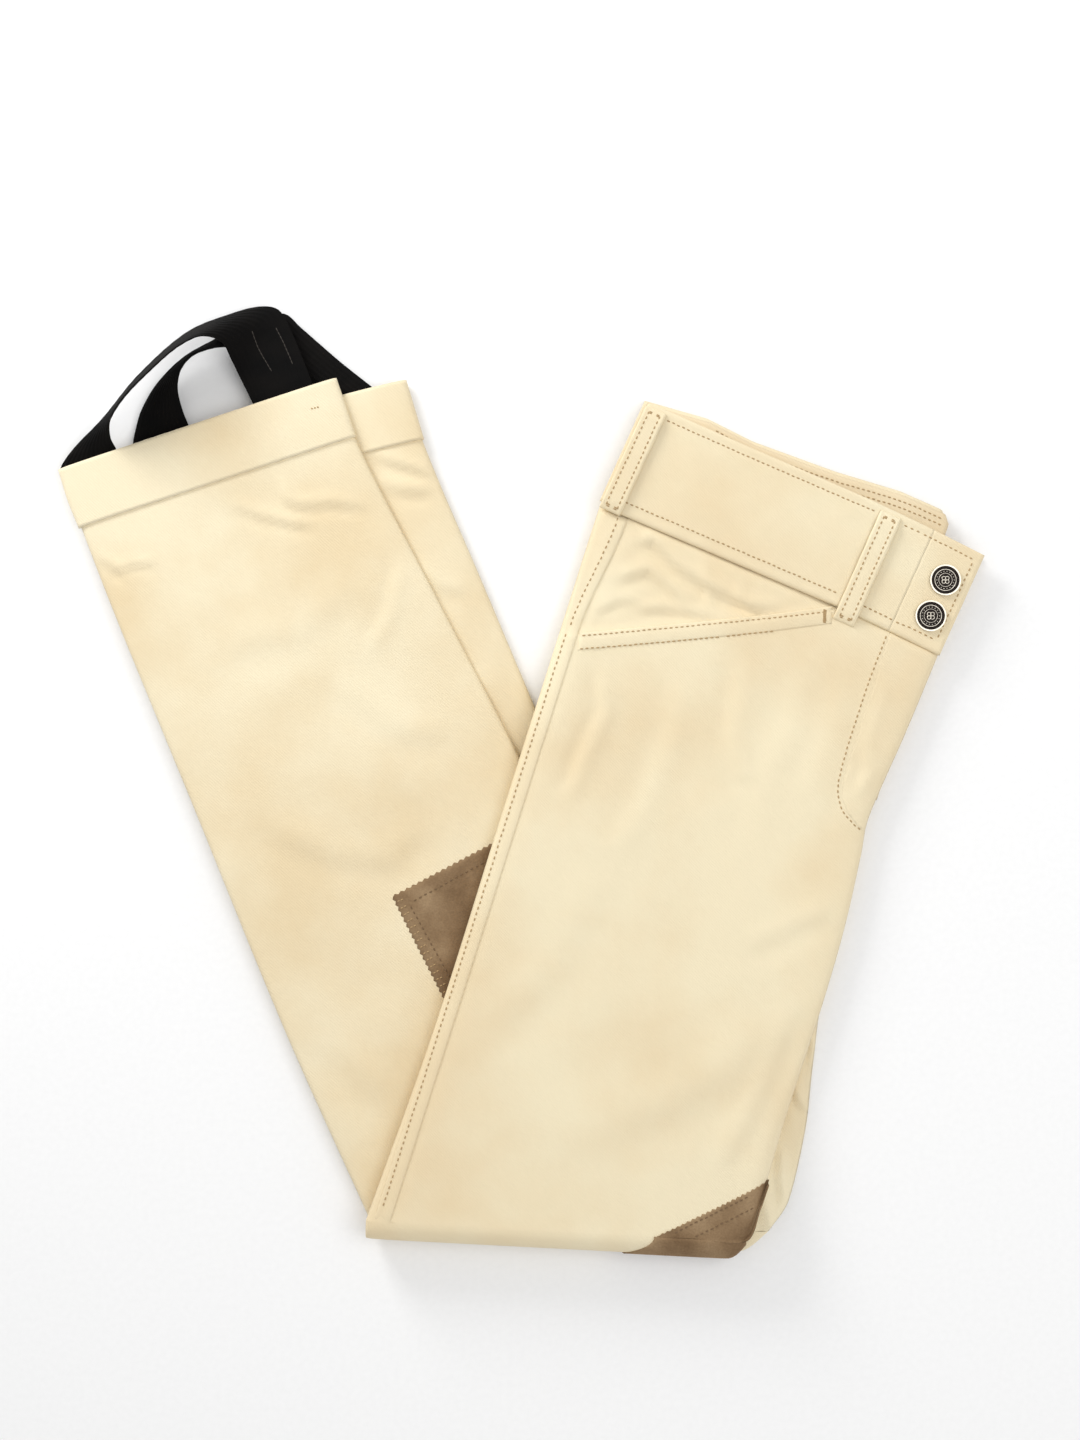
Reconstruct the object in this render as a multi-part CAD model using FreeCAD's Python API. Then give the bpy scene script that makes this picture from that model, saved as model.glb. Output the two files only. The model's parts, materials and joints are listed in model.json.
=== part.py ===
"""Riding breeches, folded for storage: the two legs lie on each other and are folded back at the knee.

Millimetres, +Z up.  The object lies on its lower legs; the waist end points to +X +Y and the hems to -X +Y.
The wearer's right leg is outermost at the knee fold, so it is the top layer of the thighs and the bottom
layer of the lower legs.  The origin is the middle of the footprint, on the surface that it lies on.
"""
import FreeCAD, Part
import math
import os

os.makedirs("parts", exist_ok=True)

# ---- driving sizes ----------------------------------------------------------------------------
CLOTH = 0.8                 # one ply of stretch twill
PLY_GAP = 0.3               # between the lower legs and the thighs that lie on them
PRESSED_SPACE = 8.5         # height inside two pressed legs that lie on each other
LEG_STACK = PRESSED_SPACE + 4 * CLOTH
FOLD_STEP = 1.7             # how far each ply turns back inside the next one at the knee fold

KNEE = (-85.0, -252.6)      # outseam end of the knee fold, from which both leg frames are measured
THIGH_TURN = -17.7          # degrees from +Y to the outseam of the thighs
SHIN_TURN = 21.8            # degrees from +Y to the outseam of the lower legs

THIGH_LENGTH = 424.0        # knee fold to waistband seam, along the outseam
THIGH_WIDTH = 203.5         # outseam to centre front, at the waistband seam
KNEE_WIDTH = 194.0          # across the leg at the knee
FOLD_RISE = 51.0            # how far the knee fold climbs across the thigh
CROTCH_DROP = 125.0         # waistband level to crotch, along the outseam
LEG_SPREAD = 18.0           # how far the leg beneath stands out past the inseam at the knee

SHIN_LENGTH = 457.0         # knee fold to hem, along the outseam
HEM_WIDTH = 160.0
HEM_SLANT = 10.0            # the hem is this much lower at the inseam
SHIN_FAN = 4.6              # degrees between the two lower legs
CUFF_HEIGHT = 34.0

BAND_HEIGHT = 61.5          # waistband
BAND_PLY = 1.5
BAND_SLANT = 24.0           # fall of the waistband's top from the side to the centre front
BACK_RISE = 10.0            # how far the back of the waist stands above the front
SEAM_ALLOWANCE = 8.0
SEAM_INSET = 10.0           # side seam from the outseam edge, at the knee
SEAM_SPREAD = 7.0           # and how much further in it is at the waistband

POCKET_DROP = 68.0          # pocket mouth below the waistband seam, at the side seam
POCKET_REACH = 138.0        # pocket mouth's inner end, from the outseam
POCKET_BAND = 9.5           # stitched edge of the pocket mouth
POCKET_BAG_DEPTH = 120.0

FLAP_WIDTH = 29.5           # fly: edge to the line of stitching that it turns on
FLAP_GAP = 0.3
J_HEIGHT = 27.0             # curve at the bottom of the fly stitching

TEETH_WIDTH = 2.0           # one row of zip teeth
TEETH_PLY = 1.0
POST_GAP = 1.8              # between the rows, where the slider's post runs
TAPE_PLY = 0.6
TOOTH_PITCH = 2.5
TOOTH_LENGTH = 1.5
SLIDER_LENGTH = 9.0
SLIDER_WIDTH = 8.6
SLIDER_WALL = 0.5
SLIDER_GAP = 1.5            # between its two plates
PULL_LENGTH = 13.0
PULL_WIDTH = 3.4
PULL_PLY = 0.6
PULL_PIN = 0.22
PIN_CLEARANCE = 0.06

SNAP_RADIUS = 8.5
SNAP_HEIGHT = 1.9
SNAP_FACE = 6.6             # radius of the enamel in the cap
SNAP_PITCH = 21.3
SNAP_INSET = 14.0           # snap centre to the front edge
STUD_RADIUS = 3.0
STUD_CLEARANCE = 0.55
RIVET_RADIUS = 1.2

LOOP_WIDTH = 12.0           # belt loops
LOOP_PLY = 1.0
LOOP_GAP = 1.5
FLAT_LOOP_PLY = 0.6

STRAP_WIDTH = 34.0          # stirrup elastic
STRAP_PLY = 1.4
STRAP_TAB = 24.0            # sewn length inside the hem
STRAP_GAP = 0.4

DRAPE_RUN = 36.0            # the thighs come down to the table over this distance
REACH = 1500.0              # longer than anything here

# ---- levels of the plies ------------------------------------------------------------------------
TUBE_HEIGHT = (LEG_STACK - 0.2) / 2
THIGH_LEVEL = {
    "left_front": 0.0,
    "left_back": 3.5,
    "right_back": 4.6,
    "right_front": LEG_STACK - CLOTH,
}
SHIN_LEVEL = {
    "right_front": 0.0,
    "right_back": TUBE_HEIGHT - CLOTH,
    "left_back": LEG_STACK - TUBE_HEIGHT,
    "left_front": LEG_STACK - CLOTH,
}
STEPS = {"right_front": 0, "right_back": 1, "left_back": 2, "left_front": 3}
BAND_LEVEL = {
    "left_front": THIGH_LEVEL["left_front"] + CLOTH,
    "left_back": THIGH_LEVEL["right_back"] - FLAT_LOOP_PLY - BAND_PLY,
    "right_back": THIGH_LEVEL["right_back"],
    "right_front": LEG_STACK - BAND_PLY,
}
UPPER_BASE = LEG_STACK + PLY_GAP            # the thighs over the lower legs
HINGE_LEVEL = LEG_STACK + PLY_GAP / 2
UNDERLAP_LEVEL = BAND_LEVEL["right_back"] + BAND_PLY + 0.2
ZIP_LEVEL = UNDERLAP_LEVEL + CLOTH + 0.2    # underside of the slider
TAPE_LEVEL = ZIP_LEVEL + SLIDER_WALL + (SLIDER_GAP - TAPE_PLY) / 2
PULL_LEVEL = ZIP_LEVEL + 2 * SLIDER_WALL + SLIDER_GAP + 0.5


# ---- plan frames ----------------------------------------------------------------------------------
def plan_frame(turn):
    """Maps (across, along) of a leg to the plan, from the knee."""
    a = math.radians(turn)

    def place(u, v):
        x = KNEE[0] + u * math.cos(a) - v * math.sin(a)
        y = KNEE[1] + u * math.sin(a) + v * math.cos(a)
        return (x, y)

    return place


thigh = plan_frame(THIGH_TURN)
shin = plan_frame(SHIN_TURN)


def between(p, q, t):
    return (p[0] + (q[0] - p[0]) * t, p[1] + (q[1] - p[1]) * t)


def offset_line(p, q, distance):
    """The line p-q moved to its left by distance."""
    length = math.hypot(q[0] - p[0], q[1] - p[1])
    nx = -(q[1] - p[1]) / length * distance
    ny = (q[0] - p[0]) / length * distance
    return (p[0] + nx, p[1] + ny), (q[0] + nx, q[1] + ny)


FOLD_START = thigh(0, 0)
FOLD_END = thigh(KNEE_WIDTH, FOLD_RISE)
FOLD_SPREAD_END = between(FOLD_START, FOLD_END, 1 + LEG_SPREAD / KNEE_WIDTH)


# ---- solids ---------------------------------------------------------------------------------------
def vec(p, z=0.0):
    return FreeCAD.Vector(p[0], p[1], z)


def prism(points, z0, z1):
    """A plan outline of straight edges, raised from z0 to z1."""
    corners = [vec(p, z0) for p in points]
    wire = Part.makePolygon(corners + [corners[0]])
    return Part.Face(wire).extrude(FreeCAD.Vector(0, 0, z1 - z0))


def column(points):
    return prism(points, -REACH / 4, REACH / 4)


def side_of(p, q):
    """Everything to the left of the line p-q."""
    length = math.hypot(q[0] - p[0], q[1] - p[1])
    ux = (q[0] - p[0]) / length
    uy = (q[1] - p[1]) / length
    a = (p[0] - ux * REACH, p[1] - uy * REACH)
    b = (p[0] + ux * REACH, p[1] + uy * REACH)
    c = (b[0] - uy * REACH, b[1] + ux * REACH)
    d = (a[0] - uy * REACH, a[1] + ux * REACH)
    return column([a, b, c, d])


def beside(p, q, distance):
    """Everything to the left of the line p-q moved to its left by distance."""
    a, b = offset_line(p, q, distance)
    return side_of(a, b)


def joined(*shapes):
    solid = shapes[0]
    for other in shapes[1:]:
        solid = solid.fuse(other)
    return solid.removeSplitter()


def shin_edge():
    """The inseam edge of the two lower legs, outermost of both."""
    return shin(HEM_WIDTH + 43, -93), shin(HEM_WIDTH + 23, 241)


def draped(area, z0, z1):
    """A ply that lies on the lower legs left of their inseam edge and comes down to the table right of it."""
    p, q = shin_edge()
    p, q = offset_line(p, q, -2.0)
    length = math.hypot(q[0] - p[0], q[1] - p[1])
    along = FreeCAD.Vector((q[0] - p[0]) / length, (q[1] - p[1]) / length, 0)
    out = FreeCAD.Vector(along.y, -along.x, 0)
    start = vec(p) - along * (REACH / 2)
    section = [
        (-REACH / 2, UPPER_BASE + z0),
        (0, UPPER_BASE + z0),
        (DRAPE_RUN, z0),
        (REACH / 2, z0),
        (REACH / 2, z1),
        (DRAPE_RUN, z1),
        (0, UPPER_BASE + z1),
        (-REACH / 2, UPPER_BASE + z1),
    ]
    corners = [start + out * s + FreeCAD.Vector(0, 0, z) for s, z in section]
    face = Part.Face(Part.makePolygon(corners + [corners[0]]))
    return area.common(face.extrude(along * REACH))


def flat(area, z0, z1):
    level = Part.makeBox(REACH, REACH, z1 - z0, FreeCAD.Vector(-REACH / 2, -REACH / 2, z0))
    return area.common(level)


def inside_fold(steps, extra=0.0):
    """The plan on the legs' side of the knee fold, back by so many steps."""
    return beside(FOLD_START, FOLD_END, steps * FOLD_STEP + extra)


# ---- outlines ---------------------------------------------------------------------------------------
WAIST_SIDE = (8.0, THIGH_LENGTH + BAND_HEIGHT + 1.5)
WAIST_FRONT = (THIGH_WIDTH + 7.5, WAIST_SIDE[1] - BAND_SLANT)
SEAM_SIDE = (0.0, THIGH_LENGTH)
SEAM_FRONT = (THIGH_WIDTH, WAIST_FRONT[1] - BAND_HEIGHT)
CROTCH = (KNEE_WIDTH, THIGH_LENGTH - CROTCH_DROP)
INSEAM_MID = (KNEE_WIDTH + 7.0, FOLD_RISE + 140.0)
HINGE_U = THIGH_WIDTH - FLAP_WIDTH
BACK_EDGE = (THIGH_WIDTH - 18.5, SEAM_FRONT[1] + BACK_RISE)


def leg_corners(spread):
    """Inseam from the crotch to the knee fold; spread widens the leg at the knee."""
    low = (KNEE_WIDTH + 4 + spread * 0.9, FOLD_RISE + 22)
    end = FOLD_SPREAD_END if spread else FOLD_END
    return [thigh(*CROTCH), thigh(INSEAM_MID[0] + spread * 0.2, INSEAM_MID[1]), thigh(*low), end]


def front_outline(spread):
    return [thigh(0, 0), thigh(*SEAM_SIDE), thigh(*WAIST_SIDE), thigh(*WAIST_FRONT),
            thigh(*SEAM_FRONT)] + leg_corners(spread)


def back_outline(spread):
    """The back of the waist stands above the front, and turns back at the centre back seam."""
    waist = [
        (WAIST_SIDE[0] + 39, WAIST_SIDE[1] + 1),
        (THIGH_WIDTH - 23.5, WAIST_SIDE[1] - 9),
        (THIGH_WIDTH - 16.5, WAIST_SIDE[1] - 13),
        BACK_EDGE,
    ]
    side = [thigh(0, 0), thigh(*SEAM_SIDE), thigh(*WAIST_SIDE)]
    return side + [thigh(*p) for p in waist] + leg_corners(spread)


def shin_frame(fan):
    """The lower leg's frame, turned by fan degrees about the knee towards the inseam."""
    a = math.radians(-fan)

    def place(u, v):
        return shin(u * math.cos(a) - v * math.sin(a), u * math.sin(a) + v * math.cos(a))

    return place


def shin_outline(fan, end):
    place = shin_frame(fan)
    hem_out = place(0, SHIN_LENGTH)
    hem_in = place(HEM_WIDTH, SHIN_LENGTH - HEM_SLANT)
    calf = place(HEM_WIDTH, SHIN_LENGTH / 2 - 10)
    return [FOLD_START, hem_out, hem_in, calf, end]


def below_band(rise):
    return side_of(thigh(SEAM_FRONT[0], SEAM_FRONT[1] + rise), thigh(*SEAM_SIDE))


def above_band(rise):
    return side_of(thigh(*SEAM_SIDE), thigh(SEAM_FRONT[0], SEAM_FRONT[1] + rise))


def behind_seam():
    """Between the outseam edge and the side seam."""
    return side_of(thigh(SEAM_INSET, 0), thigh(SEAM_INSET + SEAM_SPREAD, THIGH_LENGTH))


def before_seam():
    return side_of(thigh(SEAM_INSET + SEAM_SPREAD, THIGH_LENGTH), thigh(SEAM_INSET, 0))


def flap_area(grow):
    """The fly from the stitched line to the centre front edge, with the curve at its lower end."""
    u = HINGE_U - grow
    low = CROTCH[1] - grow
    side = [(u, WAIST_SIDE[1] + 5), (u, low + J_HEIGHT)]
    curve_mid = (u + J_HEIGHT * 0.16, low + J_HEIGHT * 0.45)
    curve_end = (CROTCH[0] - 3, low + 1)
    right = [(CROTCH[0] + 20, low + 1), (THIGH_WIDTH + 30, WAIST_SIDE[1] + 5)]
    edges = [
        Part.LineSegment(vec(thigh(*side[0])), vec(thigh(*side[1]))).toShape(),
        Part.Arc(vec(thigh(*side[1])), vec(thigh(*curve_mid)), vec(thigh(*curve_end))).toShape(),
        Part.LineSegment(vec(thigh(*curve_end)), vec(thigh(*right[0]))).toShape(),
        Part.LineSegment(vec(thigh(*right[0])), vec(thigh(*right[1]))).toShape(),
        Part.LineSegment(vec(thigh(*right[1])), vec(thigh(*side[0]))).toShape(),
    ]
    face = Part.Face(Part.Wire(edges))
    face.translate(FreeCAD.Vector(0, 0, -REACH / 4))
    return face.extrude(FreeCAD.Vector(0, 0, REACH / 2))


def inset(points, distance):
    """A clockwise outline moved inwards all round."""
    moved = []
    count = len(points)
    for i in range(count):
        a, b = offset_line(points[i - 1], points[i], -distance)
        c, d = offset_line(points[i], points[(i + 1) % count], -distance)
        cross = (b[0] - a[0]) * (d[1] - c[1]) - (b[1] - a[1]) * (d[0] - c[0])
        t = ((c[0] - a[0]) * (d[1] - c[1]) - (c[1] - a[1]) * (d[0] - c[0])) / cross
        moved.append(between(a, b, t))
    return moved


def rim(outline, width):
    return column(outline).cut(column(inset(outline, width)))


def box_area(place, u0, u1, v0, v1):
    """A plan rectangle in a leg's frame."""
    return column([place(u0, v0), place(u0, v1), place(u1, v1), place(u1, v0)])


# ---- thighs -----------------------------------------------------------------------------------------
def fold_wall(area, steps, z0, z1):
    """The upright stretch of one ply at the knee fold."""
    return flat(area.common(inside_fold(steps)).cut(inside_fold(steps, CLOTH)), z0, z1)


def thigh_front(leg, spread):
    """Front panel from the side seam round the inseam, with its turn at the knee fold."""
    level = THIGH_LEVEL[leg + "_front"]
    back = THIGH_LEVEL[leg + "_back"]
    steps = STEPS[leg + "_front"]
    outline = front_outline(spread)
    area = column(outline).common(below_band(0)).common(inside_fold(steps))
    plate = draped(area.common(before_seam()), level, level + CLOTH)
    low = min(level, back) + CLOTH
    high = max(level, back)
    inner_steps = max(steps, STEPS[leg + "_back"])
    inseam = rim(outline, CLOTH).common(box_area(thigh, KNEE_WIDTH - 25, THIGH_WIDTH + 40, -20, CROTCH[1]))
    wall = draped(inseam.common(inside_fold(inner_steps, CLOTH)), low, high)
    pieces = [plate, wall]
    if level > 0:
        turn = fold_wall(column(outline).common(before_seam()), steps, UPPER_BASE, UPPER_BASE + level)
        pieces.append(turn)
    return joined(*pieces)


def thigh_back(leg, spread):
    """Back panel, which wraps round the outseam as far as the side seam."""
    level = THIGH_LEVEL[leg + "_back"]
    front = THIGH_LEVEL[leg + "_front"]
    steps = STEPS[leg + "_back"]
    inner_steps = max(steps, STEPS[leg + "_front"])
    outline = back_outline(spread)
    area = column(outline).common(below_band(BACK_RISE)).common(inside_fold(steps))
    plate = draped(area, level, level + CLOTH)
    wrap_area = column(front_outline(spread)).common(below_band(0)).common(behind_seam())
    wrap = draped(wrap_area.common(inside_fold(inner_steps)), front, front + CLOTH)
    edge = rim(front_outline(spread), CLOTH).common(wrap_area).common(box_area(thigh, -5, 5, 0, THIGH_LENGTH))
    low = min(level, front)
    high = max(level, front) + CLOTH
    wall = draped(edge.common(inside_fold(inner_steps)), low, high)
    turn = fold_wall(column(outline), steps, UPPER_BASE, UPPER_BASE + level)
    return joined(plate, wrap, wall, turn)


def knee_patch_area(place, corners):
    return column([place(u, v) for u, v in corners])


THIGH_PATCH = [(126, 20), (135, 38), (158, 59), (180, 82), (209, 103), (240, 60), (200, 0)]
SHIN_PATCH = [(84, 170), (170, 179), (260, 100), (230, -120), (104, -70), (89, 124)]


def pocket_line():
    """The pocket mouth, from the side seam to the waistband seam."""
    share = POCKET_REACH / SEAM_FRONT[0]
    inner = between(SEAM_SIDE, SEAM_FRONT, share)
    return thigh(SEAM_INSET, THIGH_LENGTH - POCKET_DROP), thigh(*inner)


def split_pocket(panel, leg):
    """Takes the pocket's edge band out of a front panel, and returns panel, band, side panel and bag."""
    outer, inner = pocket_line()
    above = side_of(outer, inner)
    low_outer, low_inner = offset_line(outer, inner, -POCKET_BAND)
    band = panel.common(side_of(low_outer, low_inner)).cut(above)
    field = box_area(thigh, SEAM_INSET + SEAM_SPREAD - 4, POCKET_REACH + POCKET_BAND * 2, 0, WAIST_SIDE[1])
    band = band.common(field)
    rest = panel.cut(band).cut(above.common(field))
    level = THIGH_LEVEL[leg + "_front"]
    into = -1 if level > 0 else 1
    side_level = level + into * CLOTH
    bag_level = level + 2 * into * CLOTH
    area = column(front_outline(0)).common(below_band(0)).common(before_seam()).common(field)
    side = draped(area.common(beside(outer, inner, -POCKET_BAND)), side_level, side_level + CLOTH)
    bag_top = between(SEAM_SIDE, SEAM_FRONT, 0.2)
    bag = column([
        thigh(bag_top[0], bag_top[1]),
        thigh(POCKET_REACH - 8, between(SEAM_SIDE, SEAM_FRONT, 0.6)[1]),
        thigh(POCKET_REACH - 8, THIGH_LENGTH - POCKET_DROP - POCKET_BAG_DEPTH * 0.5),
        thigh(POCKET_REACH - 40, THIGH_LENGTH - POCKET_DROP - POCKET_BAG_DEPTH * 0.75),
        thigh(bag_top[0], THIGH_LENGTH - POCKET_DROP - POCKET_BAG_DEPTH * 0.7),
    ])
    bag = draped(bag.common(below_band(0)), bag_level, bag_level + CLOTH)
    return rest, band, side, bag


# ---- waistband --------------------------------------------------------------------------------------
def waistband(key):
    """One quarter of the waistband; past the pocket its allowance is sewn over the front panel's edge."""
    level = BAND_LEVEL[key]
    is_back = key.endswith("back")
    area = column(back_outline(0) if is_back else front_outline(0))
    band = flat(area.common(above_band(BACK_RISE if is_back else 0)), level, level + BAND_PLY)
    if is_back:
        return band
    panel = THIGH_LEVEL[key]
    end = HINGE_U - 7 if panel > 0 else THIGH_WIDTH - 3
    low = level if panel > 0 else panel + CLOTH
    high = panel if panel > 0 else level + BAND_PLY
    past_pocket = box_area(thigh, POCKET_REACH + 2 * POCKET_BAND + 1, end, 0, WAIST_SIDE[1])
    allowance = area.common(above_band(-SEAM_ALLOWANCE)).common(past_pocket)
    return joined(band, flat(allowance, low, high))


def side_join(leg):
    """The turn of the waistband at the side, between its back and front quarters."""
    front = BAND_LEVEL[leg + "_front"]
    back = BAND_LEVEL[leg + "_back"]
    low = min(front, back) + BAND_PLY
    high = max(front, back)
    edge = rim(front_outline(0), BAND_PLY).common(above_band(0))
    edge = edge.common(box_area(thigh, -5, WAIST_SIDE[0] + 2, THIGH_LENGTH - 5, WAIST_SIDE[1] - 3))
    return flat(edge, low, high)


def belt_loop(u0, v0, u1, v1, level):
    """A belt loop that stands off the band between its two sewn feet."""
    p = thigh(u0, v0)
    q = thigh(u1, v1)
    length = math.hypot(q[0] - p[0], q[1] - p[1])
    along = FreeCAD.Vector((q[0] - p[0]) / length, (q[1] - p[1]) / length, 0)
    across = FreeCAD.Vector(-along.y, along.x, 0)
    foot = 6.0
    ramp = 3.0
    rise = LOOP_GAP
    section = [
        (0, 0), (foot, 0), (foot + ramp, rise), (length - foot - ramp, rise), (length - foot, 0), (length, 0),
        (length, LOOP_PLY), (length - foot, LOOP_PLY), (length - foot - ramp, rise + LOOP_PLY),
        (foot + ramp, rise + LOOP_PLY), (foot, LOOP_PLY), (0, LOOP_PLY),
    ]
    start = vec(p, level) - across * (LOOP_WIDTH / 2)
    corners = [start + along * s + FreeCAD.Vector(0, 0, z) for s, z in section]
    return Part.Face(Part.makePolygon(corners + [corners[0]])).extrude(across * LOOP_WIDTH)


def flat_loop(u0, v0, u1, v1, level, ply):
    """A belt loop that is pressed flat between two layers."""
    a, b = offset_line(thigh(u0, v0), thigh(u1, v1), LOOP_WIDTH / 2)
    d, c = offset_line(thigh(u0, v0), thigh(u1, v1), -LOOP_WIDTH / 2)
    return prism([a, b, c, d], level, level + ply)


# ---- fly --------------------------------------------------------------------------------------------
ZIP_U = HINGE_U + 12.5
ZIP_LOW = CROTCH[1] + 16.0
ZIP_HIGH = SEAM_FRONT[1] - 3.0


def upright(u0, u1, v0, v1, z0, z1):
    """A box in the thigh's frame."""
    return prism([thigh(u0, v0), thigh(u0, v1), thigh(u1, v1), thigh(u1, v0)], z0, z1)


def underlap():
    """The left front's extension under the fly, which turns down to the left front at its edge."""
    outline = front_outline(0)
    reach = box_area(thigh, HINGE_U - 8, THIGH_WIDTH + 40, CROTCH[1] + 8, WAIST_SIDE[1] + 9)
    area = column(outline).common(reach)
    leg_part = flat(area.common(below_band(0)), UNDERLAP_LEVEL, UNDERLAP_LEVEL + CLOTH)
    edge = rim(outline, CLOTH).common(box_area(thigh, CROTCH[0] + 2, THIGH_WIDTH + 40, CROTCH[1] + 35,
                                               WAIST_SIDE[1] - BAND_SLANT - 4))
    band_wall = flat(edge.common(above_band(0)), BAND_LEVEL["left_front"] + BAND_PLY, UNDERLAP_LEVEL)
    leg_wall = flat(edge.common(below_band(-SEAM_ALLOWANCE)), CLOTH, UNDERLAP_LEVEL)
    band_area = area.common(above_band(0))
    band_part = flat(band_area, UNDERLAP_LEVEL, UNDERLAP_LEVEL + BAND_PLY)
    return joined(leg_part, leg_wall), joined(band_part, band_wall)


def teeth(u0, u1):
    rows = []
    count = int((ZIP_HIGH - ZIP_LOW - 4) / TOOTH_PITCH)
    level = TAPE_LEVEL + TAPE_PLY / 2 - TEETH_PLY / 2
    for i in range(count):
        v = ZIP_LOW + 3 + i * TOOTH_PITCH
        rows.append(upright(u0, u1, v, v + TOOTH_LENGTH, level, level + TEETH_PLY))
    return Part.makeCompound(rows)


def zip_slider():
    """Two plates round the rows of teeth, joined by a post, with the lugs and pin that carry the pull."""
    top = ZIP_HIGH - 1.0
    low = top - SLIDER_LENGTH
    half = SLIDER_WIDTH / 2
    upper = ZIP_LEVEL + SLIDER_WALL + SLIDER_GAP
    plates = [
        upright(ZIP_U - half, ZIP_U + half, low, top, ZIP_LEVEL, ZIP_LEVEL + SLIDER_WALL),
        upright(ZIP_U - half, ZIP_U + half, low, top, upper, upper + SLIDER_WALL),
        upright(ZIP_U - 0.6, ZIP_U + 0.6, top - 3.0, top, ZIP_LEVEL, upper + SLIDER_WALL),
    ]
    lip = (SLIDER_GAP - TAPE_PLY) / 2 - 0.15
    for side in (-1, 1):
        a = ZIP_U + side * half
        b = ZIP_U + side * (half - 0.8)
        lo, hi = min(a, b), max(a, b)
        plates.append(upright(lo, hi, low, top, ZIP_LEVEL + SLIDER_WALL, ZIP_LEVEL + SLIDER_WALL + lip))
        plates.append(upright(lo, hi, low, top, upper - lip, upper))
        lug_a = ZIP_U + side * (PULL_WIDTH / 2 + 0.3)
        lug_b = lug_a + side * 0.6
        lug_low = min(lug_a, lug_b)
        lug_high = max(lug_a, lug_b)
        plates.append(upright(lug_low, lug_high, top - 3.2, top - 1.8, upper, PULL_LEVEL + 0.45))
    slider = joined(*plates)
    a = thigh(ZIP_U - PULL_WIDTH / 2 - 0.7, top - 2.5)
    b = thigh(ZIP_U + PULL_WIDTH / 2 + 0.7, top - 2.5)
    pin = Part.makeCylinder(PULL_PIN, math.hypot(b[0] - a[0], b[1] - a[1]), vec(a, PULL_LEVEL),
                            vec(b) - vec(a))
    return joined(slider, pin), (ZIP_U, top - 2.5)


def zip_pull(pivot):
    """A flat pull with an eye round the slider's pin, lying down the fly."""
    u, v = pivot
    eye_bore = PULL_PIN + PIN_CLEARANCE
    eye_outer = eye_bore + 0.18
    half = PULL_WIDTH / 2
    a = thigh(u - half, v)
    b = thigh(u + half, v)
    direction = vec(b) - vec(a)
    eye = Part.makeCylinder(eye_outer, PULL_WIDTH, vec(a, PULL_LEVEL), direction)
    blade = upright(u - half, u + half, v - PULL_LENGTH, v - eye_bore, PULL_LEVEL - PULL_PLY / 2,
                    PULL_LEVEL + PULL_PLY / 2)
    hole = Part.makeCylinder(eye_bore, PULL_WIDTH, vec(a, PULL_LEVEL), direction)
    slot = upright(u - 0.8, u + 0.8, v - PULL_LENGTH + 1.5, v - 4.0, 0, REACH)
    return joined(eye, blade).cut(hole).cut(slot)


def snap_places():
    """Centres of the two snaps, one above the other near the front edge."""
    top = (THIGH_WIDTH + 4.5 - SNAP_INSET, SEAM_FRONT[1] + BAND_HEIGHT / 2 + 11.0)
    return [top, (top[0] - 1.7, top[1] - SNAP_PITCH)]


def disc(centre, radius, z0, z1):
    return Part.makeCylinder(radius, z1 - z0, vec(thigh(*centre), z0))


def snap_parts():
    """Rims and enamel faces on the tab, sockets under it, and studs on the underlap."""
    rims = []
    faces = []
    sockets = []
    studs = []
    stud_base = UNDERLAP_LEVEL + BAND_PLY
    tab_low = LEG_STACK - BAND_PLY
    for centre in snap_places():
        dish = disc(centre, SNAP_FACE, LEG_STACK + 0.9, LEG_STACK + SNAP_HEIGHT)
        body = disc(centre, SNAP_RADIUS, LEG_STACK, LEG_STACK + SNAP_HEIGHT)
        rivet = disc(centre, RIVET_RADIUS, tab_low, LEG_STACK)
        rims.append(joined(body.cut(dish), rivet))
        faces.append(disc(centre, SNAP_FACE, LEG_STACK + 0.9, LEG_STACK + SNAP_HEIGHT - 0.3))
        ring = disc(centre, STUD_RADIUS + STUD_CLEARANCE + 1.8, tab_low - 1.7, tab_low)
        sockets.append(ring.cut(disc(centre, STUD_RADIUS + STUD_CLEARANCE, tab_low - 1.7, tab_low - 0.3)))
        stud = disc(centre, STUD_RADIUS, stud_base, tab_low - 0.5)
        flange = disc(centre, STUD_RADIUS + 1.6, stud_base, stud_base + 0.3)
        studs.append(joined(stud, flange))
    return rims, faces, sockets, studs


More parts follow.
